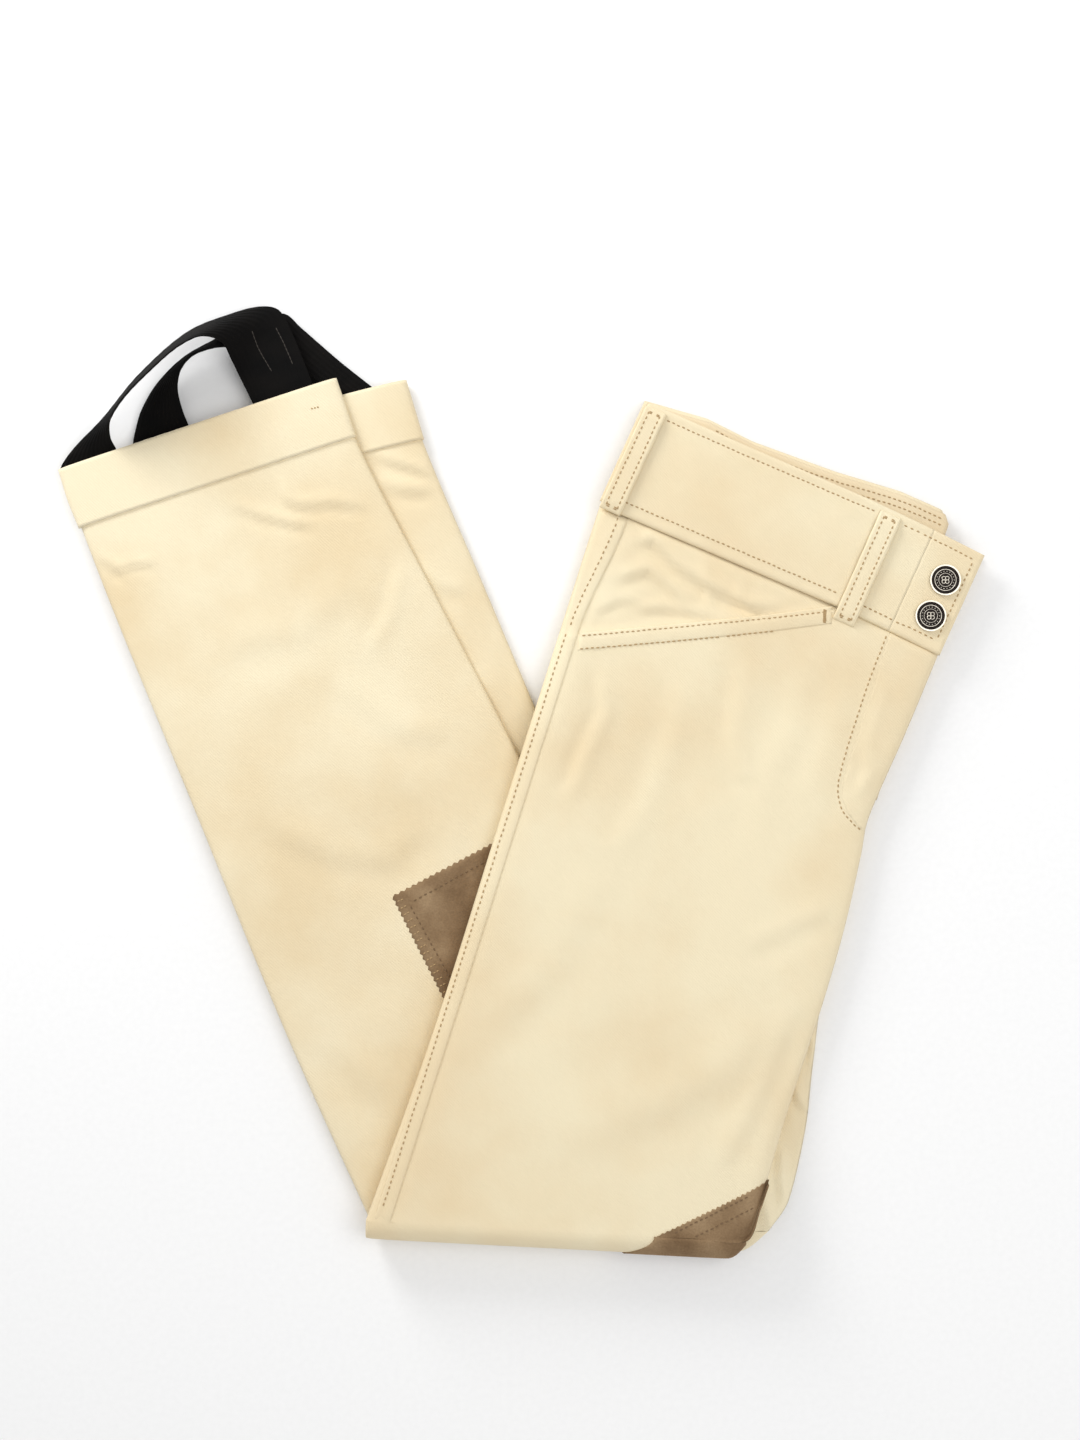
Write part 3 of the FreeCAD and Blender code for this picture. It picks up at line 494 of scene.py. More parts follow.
def stitch_piece(name, rows, height, body, material, slot="twill", **look):
    verts, faces = stitches(rows, height, **look)
    obj = new_object(name, verts, faces)
    finish_piece(obj, body, material)
    return obj


def path_in(place, points):
    return [place(u, v) for u, v in points]


def finish_piece(obj, body, material):
    obj.data.materials.append(material)
    if body:
        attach(obj, body)
    return obj


# ---- materials ---------------------------------------------------------------------------------
def rgb(r, g, b):
    """sRGB bytes as scene-linear colour."""
    def one(c):
        c /= 255
        return c / 12.92 if c <= 0.04045 else ((c + 0.055) / 1.055) ** 2.4
    return one(r), one(g), one(b), 1.0


class Maker:
    """Short ways to add nodes to a material."""

    def __init__(self, name):
        self.mat = bpy.data.materials.new(name)
        self.mat.use_nodes = True
        self.tree = self.mat.node_tree
        self.shader = self.tree.nodes["Principled BSDF"]
        coords = self.tree.nodes.new("ShaderNodeTexCoord")
        self.coords = coords.outputs["Object"]

    def link(self, a, b):
        self.tree.links.new(a, b)

    def turned(self, angle, scale=1.0):
        node = self.tree.nodes.new("ShaderNodeMapping")
        node.inputs["Rotation"].default_value = (0, 0, math.radians(angle))
        node.inputs["Scale"].default_value = (scale, scale, scale)
        self.link(self.coords, node.inputs["Vector"])
        return node.outputs["Vector"]

    def noise(self, scale, detail=3.0, vector=None):
        node = self.tree.nodes.new("ShaderNodeTexNoise")
        node.inputs["Scale"].default_value = scale
        node.inputs["Detail"].default_value = detail
        self.link(vector or self.coords, node.inputs["Vector"])
        return node.outputs["Fac"]

    def wave(self, scale, vector, distortion=0.0):
        node = self.tree.nodes.new("ShaderNodeTexWave")
        node.inputs["Scale"].default_value = scale
        node.inputs["Distortion"].default_value = distortion
        node.inputs["Detail"].default_value = 1.0
        self.link(vector, node.inputs["Vector"])
        return node.outputs["Fac"]

    def ramp(self, factor, stops):
        node = self.tree.nodes.new("ShaderNodeValToRGB")
        ramp = node.color_ramp
        for i, (at, colour) in enumerate(stops):
            stop = ramp.elements[i] if i < 2 else ramp.elements.new(at)
            stop.position = at
            stop.color = colour
        self.link(factor, node.inputs["Fac"])
        return node.outputs["Color"]

    def mix(self, factor, a, b, kind="MIX"):
        node = self.tree.nodes.new("ShaderNodeMixRGB")
        node.blend_type = kind
        for value, name in ((factor, "Fac"), (a, "Color1"), (b, "Color2")):
            if hasattr(value, "is_linked"):
                self.link(value, node.inputs[name])
            else:
                node.inputs[name].default_value = value
        return node.outputs["Color"]

    def maths(self, operation, a, b):
        node = self.tree.nodes.new("ShaderNodeMath")
        node.operation = operation
        for value, slot_in in ((a, node.inputs[0]), (b, node.inputs[1])):
            if hasattr(value, "is_linked"):
                self.link(value, slot_in)
            else:
                slot_in.default_value = value
        return node.outputs["Value"]

    def bump(self, height, distance, strength=1.0):
        node = self.tree.nodes.new("ShaderNodeBump")
        node.inputs["Distance"].default_value = distance
        node.inputs["Strength"].default_value = strength
        self.link(height, node.inputs["Height"])
        self.link(node.outputs["Normal"], self.shader.inputs["Normal"])

    def set(self, **values):
        for name, value in values.items():
            self.shader.inputs[name.replace("_", " ")].default_value = value


def twill(name, low, high, turn):
    """Fine diagonal weave with soft uneven colour, and a little fuzz."""
    m = Maker(name)
    weave = m.wave(420.0, m.turned(turn + 45))
    threads = m.wave(650.0, m.turned(turn))
    slubs = m.noise(700.0, 2.0)
    soft = m.noise(11.0, 4.0)
    colour = m.ramp(soft, [(0.34, low), (0.62, high)])
    shade = m.ramp(weave, [(0.1, (0.9, 0.89, 0.865, 1)), (0.8, (1, 1, 1, 1))])
    m.link(m.mix(1.0, colour, shade, "MULTIPLY"), m.shader.inputs["Base Color"])
    both = m.maths("ADD", m.maths("MULTIPLY", weave, 0.6), m.maths("MULTIPLY", threads, 0.25))
    m.bump(m.maths("ADD", both, m.maths("MULTIPLY", slubs, 0.5)), 0.0002, 0.9)
    m.set(Roughness=0.86, Sheen_Weight=0.12, Sheen_Roughness=0.5, Specular_IOR_Level=0.25)
    return m.mat


def suede_material():
    m = Maker("suede")
    nap = m.noise(45.0, 6.0)
    fine = m.noise(900.0, 3.0)
    colour = m.ramp(nap, [(0.32, rgb(124, 99, 72)), (0.5, rgb(146, 120, 90)), (0.7, rgb(166, 140, 108))])
    grain = m.ramp(fine, [(0.3, (0.82, 0.81, 0.8, 1)), (0.7, (1, 1, 1, 1))])
    m.link(m.mix(1.0, colour, grain, "MULTIPLY"), m.shader.inputs["Base Color"])
    m.bump(m.maths("ADD", m.maths("MULTIPLY", nap, 0.5), fine), 0.00025, 0.9)
    m.set(Roughness=0.95, Sheen_Weight=0.35, Sheen_Roughness=0.4, Specular_IOR_Level=0.15)
    m.shader.inputs["Sheen Tint"].default_value = rgb(190, 160, 125)
    return m.mat


def plain(name, colour, roughness, metallic=0.0, grain=0.0, grain_scale=500.0, coat=0.0):
    m = Maker(name)
    mottled = m.noise(grain_scale, 3.0)
    dark = tuple(c * 0.82 for c in colour[:3]) + (1,)
    m.link(m.ramp(mottled, [(0.35, dark), (0.6, colour)]), m.shader.inputs["Base Color"])
    if grain:
        m.bump(mottled, grain, 0.8)
    m.set(Roughness=roughness, Metallic=metallic, Coat_Weight=coat)
    return m.mat


def elastic_material():
    m = Maker("elastic")
    knit = m.noise(1500.0, 2.0)
    worn = m.noise(60.0, 3.0)
    colour = m.ramp(worn, [(0.3, rgb(4, 4, 4)), (0.8, rgb(15, 12, 10))])
    m.link(colour, m.shader.inputs["Base Color"])
    m.bump(knit, 0.0002, 0.7)
    m.set(Roughness=0.85, Sheen_Weight=0.03, Specular_IOR_Level=0.12)
    return m.mat


TWILL = twill("twill_thigh", rgb(241, 221, 183), rgb(249, 236, 203), THIGH_TURN)
TWILL_LOW = twill("twill_shin", rgb(240, 220, 181), rgb(250, 237, 205), SHIN_TURN)
LINING = twill("lining", rgb(232, 210, 172), rgb(241, 223, 188), THIGH_TURN)
THREAD = plain("thread", rgb(186, 156, 112), 0.75, grain=0.0001, grain_scale=2500.0)
THREAD_DARK = plain("patch_thread", rgb(120, 94, 66), 0.75, grain=0.0001, grain_scale=2500.0)
# Grey-brown, lighter than the black elastic, for the ridges of the strap's creases: painted highlight along
# the crease ridges.
STRAP_CREASE_HIGHLIGHT = plain("strap_crease_highlight", rgb(58, 52, 46), 0.8, grain=0.0001, grain_scale=2500.0)
SUEDE = suede_material()
ELASTIC = elastic_material()
NICKEL = plain("nickel", rgb(205, 198, 184), 0.28, metallic=1.0, grain=0.00003, grain_scale=300.0)
ENAMEL = plain("enamel", rgb(30, 19, 14), 0.5, grain=0.00003, grain_scale=700.0)
ENAMEL.node_tree.nodes["Principled BSDF"].inputs["Specular IOR Level"].default_value = 0.15
TAPE = plain("zip_tape", rgb(222, 203, 168), 0.85, grain=0.0002, grain_scale=1400.0)
BRASS = plain("brass", rgb(198, 172, 116), 0.33, metallic=1.0, grain=0.00003, grain_scale=500.0)

# ---- legs --------------------------------------------------------------------------------------
SEAM_V = SEAM_SIDE[1]


def thigh_uv(p):
    return local(THIGH_TURN, p)


def top_right_thigh(p):
    u, v = thigh_uv(p)
    z = base(p, 64.0) + STACK
    near = smooth((v - 60) / 60)
    if v > CROTCH[1] - 10:
        near *= 1 - math.exp(-((u - HINGE_U) / 5.0) ** 2)
    z += (creases(THIGH_CREASES, u, v) + 0.9 * swell(p, 70, 3) + 0.4 * swell(p, 26, 8)) * near
    z += seam_groove(u, v)
    z += hip_dip(u, v)
    z -= 2.2 * smooth((v - foot_line(u) + 0.2) / 2.0)
    return z


def foot_line(u):
    """Where the waist seam runs."""
    return SEAM_SIDE[1] + (SEAM_FRONT[1] - SEAM_SIDE[1]) * u / SEAM_FRONT[0]


def side_seam(v):
    """How far from the outer edge the side seam runs."""
    return 10.0 + 7.0 * smooth((v - 355) / 68)


def seam_groove(u, v):
    """The side seam is pressed in."""
    d = u - side_seam(v)
    if v < FOLD_DEPTH or v > SEAM_V or abs(d) > 14:
        return 0.0
    return -0.4 * math.exp(-((d - 0.8) / 1.6) ** 2)


POCKET_LINE = [(5, 351), (40, 366), (72, 379.7), (105, 394), (139, 410)]


def pocket_v(u):
    for (ua, va), (ub, vb) in zip(POCKET_LINE, POCKET_LINE[1:]):
        if u <= ub:
            return va + (vb - va) * (u - ua) / (ub - ua)
    return POCKET_LINE[-1][1]


def hip_dip(u, v):
    """Above the slanted pocket mouth the hip panel lies lower, and puckers."""
    if u > 142 or u < 0 or v < pocket_v(u) or v > SEAM_V + 10:
        return 0.0
    depth = 1.5 * smooth((v - pocket_v(u)) / 1.5) * smooth((SEAM_V + 20 - v) / 4)
    return -depth + 1.35 * creases(HIP_CREASES, u, v) + 0.35 * swell((u * 1.6, v), 9, 41)


def low_right_thigh(p):
    return base(p) + 4.6


def top_left_thigh(p):
    u, v = thigh_uv(p)
    return base(p) + 4.3 + 1.2 * creases(UNDER_THIGH_CREASES, u, v) * smooth((u - 186) / 10)


def low_left_thigh(p):
    return base(p)


def fan_uv(p):
    return local(SHIN_TURN - FAN, p)


def shin_uv(p):
    return local(SHIN_TURN, p)


def top_left_shin(p):
    u, v = shin_uv(p)
    free = smooth((-thigh_uv(p)[0] - 3) / 20)
    puff = 1.2 * math.sin(math.pi * min(max(u / 180, 0), 1)) ** 0.7
    uneven = (0.8 * swell(p, 60, 5) + 0.4 * swell(p, 24, 11)) * smooth((SHIN_LENGTH - 3 - v) / 30)
    return STACK + (puff + creases(SHIN_CREASES, u, v) + uneven) * free


def hem_line(u):
    return SHIN_LENGTH - HEM_SLANT * u / HEM_WIDTH


def low_left_shin(p):
    return STACK / 2 + 0.1


def top_right_shin(p):
    u, v = fan_uv(p)
    z = STACK / 2 - 0.1
    past = smooth((u - 120) / 25) * smooth((v - 240) / 40)
    return z + past * (1.2 * creases(UNDER_SHIN_CREASES, u, v) + 1.2)


def low_right_shin(p):
    return 0.0


COLS = 76
FOLD_END = thigh(*KNEE_END)
FOLD_SPREAD = thigh(*SPREAD_END)
UNDER_FOLD = thigh(*UNDER_END)
start_near = KNEE + FOLD_IN * FOLD_DEPTH
start_far = FOLD_END + FOLD_IN * FOLD_DEPTH
start_spread = FOLD_SPREAD + FOLD_IN * FOLD_DEPTH
start_under = UNDER_FOLD + FOLD_IN * FOLD_DEPTH

side_edge = [start_near, thigh(0.6, 120), thigh(0.2, 240), thigh(0, 350), thigh(0, 424), thigh(0.8, 431)]
inseam_right = [start_far, thigh(200.0, 90), thigh(200.8, 140), thigh(201.5, 191),
                thigh(200.4, 240), thigh(196.6, 285), thigh(194.4, 302), thigh(195.6, 320),
                thigh(199.5, 355), thigh(203.5, 401.5), thigh(204, 408)]
inseam_left = [start_spread, thigh(217, 90), thigh(214.5, 130), thigh(207, 168), thigh(201.5, 200),
               thigh(199.9, 240), thigh(196, 285), thigh(193.8, 302), thigh(195, 320), thigh(199, 355),
               thigh(203, 401.5), thigh(203.4, 408)]
shin_side = [start_near, shin(0.4, 120), shin(-0.6, 250), shin(-1.5, 380), shin(0, 457)]
shin_inseam = [start_far, shin(189.5, 20), shin(185, 100), shin(177, 218), shin(166, 330),
               shin(158.5, 410), shin(160, 447)]
shin_side_r = [start_near, shin_r(0.4, 120), shin_r(-0.6, 250), shin_r(-1.5, 380), shin_r(0, 457)]
shin_inseam_r = [start_under, shin_r(199, 40), shin_r(190, 120), shin_r(179, 220), shin_r(168, 330),
                 shin_r(160, 410), shin_r(160, 447)]

right_thigh = leg_part("right_thigh", side_edge, inseam_right, top_right_thigh, low_right_thigh, COLS)
left_thigh = leg_part("left_thigh", side_edge, inseam_left, top_left_thigh, low_left_thigh, COLS)
left_shin = leg_part("left_shin", shin_side, shin_inseam, top_left_shin, low_left_shin, COLS)
right_shin = leg_part("right_shin", shin_side_r, shin_inseam_r, top_right_shin, low_right_shin, COLS)
for piece, body, material in ((right_thigh, "thighs", TWILL), (left_thigh, "thighs", TWILL),
                              (left_shin, "lower_legs", TWILL_LOW), (right_shin, "lower_legs", TWILL_LOW)):
    finish_piece(piece, body, material)

# ---- knees -------------------------------------------------------------------------------------
RIGHT_BEND = ((0.0, 23.7), (5.6, 16.6))
LEFT_BEND = ((6.05, 16.3), (11.7, 12.0))
right_knee, right_knee_in = knee_bend("right_knee", UNDER_FOLD, FOLD_END, RIGHT_BEND, (12.0, 11.2), COLS)
left_knee, left_knee_in = knee_bend("left_knee", FOLD_END, FOLD_SPREAD, LEFT_BEND, (10.8, 10.2), COLS)


def bend_with_knee(piece):
    """Bakes the piece's placement into its mesh; it is tied to neither the lower legs nor the thighs."""
    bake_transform(piece)


for piece, (low, high) in ((right_knee, RIGHT_BEND[0]), (right_knee_in, RIGHT_BEND[1]),
                           (left_knee, LEFT_BEND[0]), (left_knee_in, LEFT_BEND[1])):
    piece.data.materials.append(TWILL)
    bend_with_knee(piece)

# ---- fly ---------------------------------------------------------------------------------------
FLY_FOOT = [(174.0, 322.0), (176.0, 312.0), (181.5, 304.5), (190.5, 298.5), (200.0, 294.5)]


def fly_foot_v(u):
    for (ua, va), (ub, vb) in zip(FLY_FOOT, FLY_FOOT[1:]):
        if u <= ub:
            return va + (vb - va) * (u - ua) / (ub - ua)
    return FLY_FOOT[-1][1]


def cut_fly(source):
    """Takes the fly's top ply out of the thigh as a piece of its own."""
    bm = bmesh.new()
    bm.from_mesh(source.data)
    hinge = thigh(HINGE_U, 350)
    across = (thigh(1, 0) - thigh(0, 0)).normalized()
    cuts = [(hinge, across)]
    for (ua, va), (ub, vb) in zip(FLY_FOOT, FLY_FOOT[1:]):
        a = thigh(ua, va)
        line = (thigh(ub, vb) - a).normalized()
        cuts.append((a, Vector((-line.y, line.x, 0))))
    for place, normal in cuts:
        geom = [f for f in bm.faces if 270 < thigh_uv(f.calc_center_median() / MM)[1] < 420
                and thigh_uv(f.calc_center_median() / MM)[0] > 160]
        parts = list({e for f in geom for e in f.edges}) + list({v for f in geom for v in f.verts}) + geom
        bmesh.ops.bisect_plane(bm, geom=parts, dist=1e-6, plane_co=place * MM, plane_no=normal)
    flap = []
    for f in bm.faces:
        c = f.calc_center_median() / MM
        u, v = thigh_uv(c)
        if u > HINGE_U and v > fly_foot_v(u) and c.z > base(c) + 8.2:
            flap.append(f.index)
    bm.to_mesh(source.data)
    bm.free()
    piece = source.copy()
    piece.data = source.data.copy()
    piece.name = "fly_placket_cloth"
    bpy.context.scene.collection.objects.link(piece)
    keep = set(flap)
    for obj, inside in ((piece, True), (source, False)):
        bm = bmesh.new()
        bm.from_mesh(obj.data)
        bm.faces.ensure_lookup_table()
        gone = [f for f in bm.faces if (f.index in keep) != inside]
        bmesh.ops.delete(bm, geom=gone, context="FACES")
        bm.to_mesh(obj.data)
        bm.free()
    return piece


skin = surface_of(right_thigh)
shin_skin = surface_of(left_shin)
fly = cut_fly(right_thigh)
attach(fly, "fly_flap")
turned_in = fly.modifiers.new("ply", "SOLIDIFY")
turned_in.thickness = 0.8 * MM
turned_in.offset = -1

# ---- waistband ---------------------------------------------------------------------------------
BAND_FOOT = [(0.0, 424.6), (70.0, 418.0), (140.0, 411.4), (174.0, 407.0), (204.0, 402.6)]
BAND_HEAD = [(8.0, 487.0), (70.0, 480.5), (140.0, 473.4), (174.0, 468.9), (211.0, 463.0)]


def on_line(points, u_share):
    span = points[-1][0] - points[0][0]
    u = points[0][0] + span * u_share
    for (ua, va), (ub, vb) in zip(points, points[1:]):
        if u <= ub + 1e-6:
            return u, va + (vb - va) * (u - ua) / (ub - ua)
    return points[-1]


def band_point(across, up):
    """A plan point of the front waistband: across and up both run from 0 to 1."""
    a = on_line(BAND_FOOT, across)
    b = on_line(BAND_HEAD, across)
    return thigh(a[0] + (b[0] - a[0]) * up, a[1] + (b[1] - a[1]) * up)


def eased(i, n, share=0.4):
    t = i / n
    return (1 - share) * t + share * (0.5 - 0.5 * math.cos(math.pi * t))


def band_grid(start, end, rows, cols):
    return [[band_point(start + (end - start) * eased(j, cols, 0.25), eased(i, rows))
             for j in range(cols + 1)]
            for i in range(rows + 1)]


def band_height(level):
    def height(p, last=0.0):
        return base(p, 64.0) + level
    return height


def band_rise(ply, seed):
    """Slightly uneven thickness with sunk stitch lines near both long edges."""
    def rise(s, r, p):
        up = eased(s, 1) * 63
        sunk = 0.35 * math.exp(-((up - 58.5) / 1.0) ** 2) + 0.35 * math.exp(-((up - 5.5) / 1.0) ** 2)
        level = 1 - math.exp(-((thigh_uv(p)[0] - HINGE_U) / 5.0) ** 2)
        uneven = 0.35 * swell(p, 22, seed) + 0.2 * swell(p, 9, seed + 4)
        return ply - sunk + uneven * level - 0.1 * (1 - level)
    return rise


HINGE_SHARE = 0.8487
right_band = slab("right_front_waistband_cloth", band_grid(0.0, HINGE_SHARE, 30, 90), band_height(9.85),
                  band_rise(1.9, 2), edge=0.55, square=("last",))
tab = slab("waistband_tab_cloth", band_grid(HINGE_SHARE + 0.0002, 1.0, 30, 20), band_height(9.85),
           band_rise(1.9, 2), edge=0.55, square=("first",))
left_band = slab("left_front_waistband_cloth", band_grid(0.0, 1.0, 20, 70), band_height(0.8), 1.4, edge=0.4)
finish_piece(right_band, "thighs", TWILL)
finish_piece(tab, "fly_flap", TWILL)
finish_piece(left_band, "thighs", TWILL)

BACK_FOOT = [(1.0, 426.0), (94.0, 420.0), (187.0, 411.5)]
BACK_HEAD = [(8.0, 486.5), (44.0, 487.6), (72.0, 483.2), (121.0, 481.2), (158.6, 481.8), (184.0, 479.0),
             (187.5, 474.0)]


def back_grid(rows, cols, shift=0.0):
    out = []
    for i in range(rows + 1):
        line = []
        for j in range(cols + 1):
            a = on_line(BACK_FOOT, eased(j, cols))
            b = on_line(BACK_HEAD, eased(j, cols))
            s = eased(i, rows)
            line.append(thigh(a[0] + (b[0] - a[0]) * s + shift, a[1] + (b[1] - a[1]) * s - shift))
        out.append(line)
    return out


def back_rise(ply, seed):
    def rise(s, r, p):
        return ply + 0.4 * swell(p, 18, seed) - 0.3 * math.exp(-(((1 - eased(s, 1)) * 62 - 3.2) / 0.9) ** 2)
    return rise


right_back_band = slab("right_back_waistband_cloth", back_grid(20, 70), band_height(5.4),
                       back_rise(1.8, 12), edge=0.5)
left_back_band = slab("left_back_waistband_cloth", back_grid(20, 70, -2.0), band_height(3.0),
                      back_rise(1.4, 15), edge=0.5)
finish_piece(right_back_band, "thighs", LINING)
finish_piece(left_back_band, "thighs", TWILL)
band_top = surface_of(right_band, tab)
back_top = surface_of(right_back_band)

# ---- side seam ---------------------------------------------------------------------------------
def side_welt():
    """The back panel comes round the side, and ends in a lapped edge along the seam."""
    grid = []
    rows = 150
    for i in range(rows + 1):
        v = 13.0 + (423.0 - 13.0) * i / rows
        near = 0.9 - 0.35 * smooth((v - 300) / 100)
        grid.append([thigh(near + (side_seam(v) - near) * eased(j, 8, 0.3), v) for j in range(9)])

    def rise(s, r, p):
        d = (1 - r) * 9
        ply = (0.62 + 0.12 * swell(p, 8, 51)) * smooth((thigh_uv(p)[1] - 12) / 9)
        return ply - 0.25 * math.exp(-((d - 5.4) / 1.0) ** 2)
    obj = slab("right_side_welt_cloth", grid, skin, rise, lift=-0.15, edge=0.35)
    return finish_piece(obj, "thighs", TWILL)


side_strip = side_welt()
welt_top = surface_of(side_strip)

# ---- pocket edge, belt loops -------------------------------------------------------------------
POCKET_BAND = 9.5


def pocket_grid(rows, cols):
    out = []
    for i in range(rows + 1):
        s = eased(i, rows)
        line = []
        for j in range(cols + 1):
            u = 10.5 + (139.5 - 10.5) * eased(j, cols, 0.2)
            v = pocket_v(u) - POCKET_BAND * (1 - s) + 0.6
            line.append(thigh(u + 2.2 * (1 - s), v))
        out.append(line)
    return out


def pocket_rise(s, r, p):
    up = eased(s, 1) * POCKET_BAND
    rise = 0.9 - 0.3 * math.exp(-((up - 7.6) / 0.8) ** 2)
    rise -= 0.3 * math.exp(-((up - 1.2) / 0.8) ** 2)
    return rise + 0.2 * swell(p, 12, 6)


def smoothed(height):
    """A surface just below a pocket's mouth, so that its band doesn't dip into the pocket."""
    def at(p, last=0.0):
        u, v = thigh_uv(p)
        v = min(v, pocket_v(u) - 1.2)
        return height(thigh(u, v), last)
    return at


pocket_band = slab("right_pocket_edge_cloth", pocket_grid(8, 80), smoothed(skin), pocket_rise, lift=-0.2,
                   edge=0.6)
finish_piece(pocket_band, "thighs", TWILL)
pocket_top = surface_of(pocket_band)


def belt_loop(name, foot, head, width, material, body, low=11.75, gap=1.5, ply=1.1, rows=30):
    """A strap that is sewn down at both ends and stands off the band between them."""
    a = Vector(foot)
    b = Vector(head)
    along = (b - a).normalized()
    side = Vector((along.y, -along.x)) * (width / 2)
    grid = []
    for i in range(rows + 1):
        c = a.lerp(b, eased(i, rows, 0.5))
        cols = 10
        grid.append([thigh(*(c + side * (2 * eased(j, cols, 0.6) - 1))) for j in range(cols + 1)])

    def height(p, last=0.0):
        u, v = thigh_uv(p)
        t = (Vector((u, v)) - a).dot(along) / (b - a).length
        stands = smooth(t / 0.1) * smooth((1 - t) / 0.1)
        return base(p, 64.0) + low + gap * stands

    def rise(s, r, p):
        x = abs(2 * eased(r, 1, 0.0) - 1) * width / 2
        return ply + 0.25 * math.exp(-((x - 4.6) / 0.9) ** 2) - 0.25 * math.exp(-((x - 3.1) / 0.7) ** 2)

    obj = slab(name, grid, height, rise, edge=0.6)
    finish_piece(obj, body, material)
    return obj


front_loop = belt_loop("right_front_belt_loop_cloth", (147.4, 403.6), (154.6, 468.6), 12.4, TWILL, "thighs")
side_loop = belt_loop("right_side_belt_loop_cloth", (6.0, 423.0), (13.6, 484.2), 12.4, TWILL, "thighs")
loop_top = surface_of(front_loop, side_loop)

# ---- cuffs -------------------------------------------------------------------------------------
def cuff(name, place, left_u, right_foot, right_head, top, low, body):
    grow = 0.9
    left = [place(left_u - grow, hem_line(0) - CUFF), place(left_u - grow, hem_line(0) - CUFF / 2),
            place(-grow, hem_line(0) + 0.4)]
    right = [place(right_foot[0] + grow, right_foot[1]),
             place((right_foot[0] + right_head[0]) / 2 + grow, (right_foot[1] + right_head[1]) / 2),
             place(right_head[0] + grow, right_head[1] + 0.4)]
    obj = leg_part(name, left, right, lambda p: top(p) + 0.75, lambda p: low(p) - 0.05, COLS, cell=2.0,
                   lips=0.9)
    finish_piece(obj, body, TWILL_LOW)
    return obj


left_cuff = cuff("left_hem_cuff_cloth", shin, -1.4, (158.4, 413.0), (160.2, 447.0), top_left_shin,
                 low_left_shin, "lower_legs")
right_cuff = cuff("right_hem_cuff_cloth", shin_r, -1.4, (160.0, 413.0), (160.3, 447.0), top_right_shin,
                  lambda p: 0.1, "lower_legs")
cuff_top = surface_of(left_cuff)

# ---- suede knee patches ------------------------------------------------------------------------
PATCH_HEAD = [(150.2, 51.6), (158, 58.5), (170, 70), (181, 80.5), (191, 90), (201, 99.5)]


def thigh_patch():
    count = 46
    head = curve_through([Vector((u, v, 0)) for u, v in PATCH_HEAD], count + 1)
    near = local(THIGH_TURN, start_near + FOLD_DIR * 158.3)
    corner = local(THIGH_TURN, start_far + FOLD_DIR * 0.6)
    foot_path = [Vector((*near, 0)), Vector((*local(THIGH_TURN, start_near + FOLD_DIR * 178), 0)),
                 Vector((*corner, 0)),
                 Vector((200.7, 84, 0)), Vector((201.0, 97.5, 0))]
    foot = curve_through(foot_path, count + 1)
    rows = 26
    grid = []
    for i in range(rows + 1):
        s = eased(i, rows, 0.3)
        line = []
        for k in range(count + 1):
            c = head[k].lerp(foot[k], s)
            if i == 0:
                way = head[k] - foot[k]
                c = c + (way.normalized() if way.length > 1 else Vector()) * (0.55 if k % 2 else -0.55)
            line.append(thigh(c.x, c.y))
        grid.append(line)
    return grid


def nap_rise(s, r, p):
    return 0.85 + 0.25 * swell(p, 16, 21) + 0.12 * swell(p, 5, 22)


patch_up = slab("right_knee_patch_upper_suede", thigh_patch(), skin, nap_rise, lift=-0.25, edge=0.5)
finish_piece(patch_up, "thighs", SUEDE)


def knee_cover():
    """The suede round the bend of the knee: it lies 0.8 mm out from the right leg's outer ply."""
    steps = 24
    cols = 30
    length = (FOLD_END - KNEE).length
    verts = []
    for k in range(steps + 1):
        angle = math.pi * (k / steps - 0.5)
        end = UNDER_FOLD.lerp(FOLD_END, k / steps)
        start = 118 + 23 * smooth(k / steps * 2) + 17 * max(0.0, math.sin(angle)) ** 2
        for j in range(cols + 1):
            r = (start + (length - start) * j / cols) / length
            p = KNEE.lerp(end, r) + FOLD_IN * corner_in(r, angle)
            turn = math.cos(angle)
            lift = math.sin(angle)
            outer = p + FOLD_IN * (12.0 - 12.0 * turn) + Vector((0, 0, 11.85 + 11.85 * lift))
            inner = p + FOLD_IN * (12.0 - 11.2 * turn) + Vector((0, 0, 11.1 + 5.5 * lift))
            mid = (outer + inner) / 2
            out = (Vector((0, 0, math.sin(angle))) - FOLD_IN * math.cos(angle)) * 0.7
            past = FOLD_DIR * (0.7 if j == cols else 0)
            point = mid + (outer - mid) * roundness(r) + out * roundness(r) + past
            point.z = max(point.z, 0.05)
            verts.append(point)
    return fix_normals(new_object("right_knee_patch_bend_suede", verts, grid_faces(steps, cols)))


bend = knee_cover()
bend.data.materials.append(SUEDE)
bend_with_knee(bend)
ply = bend.modifiers.new("ply", "SOLIDIFY")
ply.thickness = 0.7 * MM
ply.offset = -1


def zigzag(grid, size=0.55):
    """Pinks the first column and last row of a patch."""
    for i, line in enumerate(grid):
        way = (line[0] - line[1]).normalized()
        line[0] = line[0] + way * (size if i % 2 else -size)
    for j, p in enumerate(grid[-1]):
        way = (grid[-1][j] - grid[-2][j]).normalized()
        grid[-1][j] = p + way * (size if j % 2 else -size)
    return grid


shin_patch_grid = zigzag(area_grid(shin, (92, 70), (186, 78), (179, 180), (83.5, 169.8), 60, 52,
                                   ease=False))
patch_low = slab("left_knee_patch_lower_suede", shin_patch_grid, shin_skin,
                 lambda s, r, p: min(0.85 + 0.2 * swell(p, 14, 31), 1.0), lift=-0.25, edge=0.5)
finish_piece(patch_low, "lower_legs", SUEDE)
patch_up_top = surface_of(patch_up)
patch_low_top = surface_of(patch_low)

def rows_in(place, rows):
    return [path_in(place, row) for row in rows]


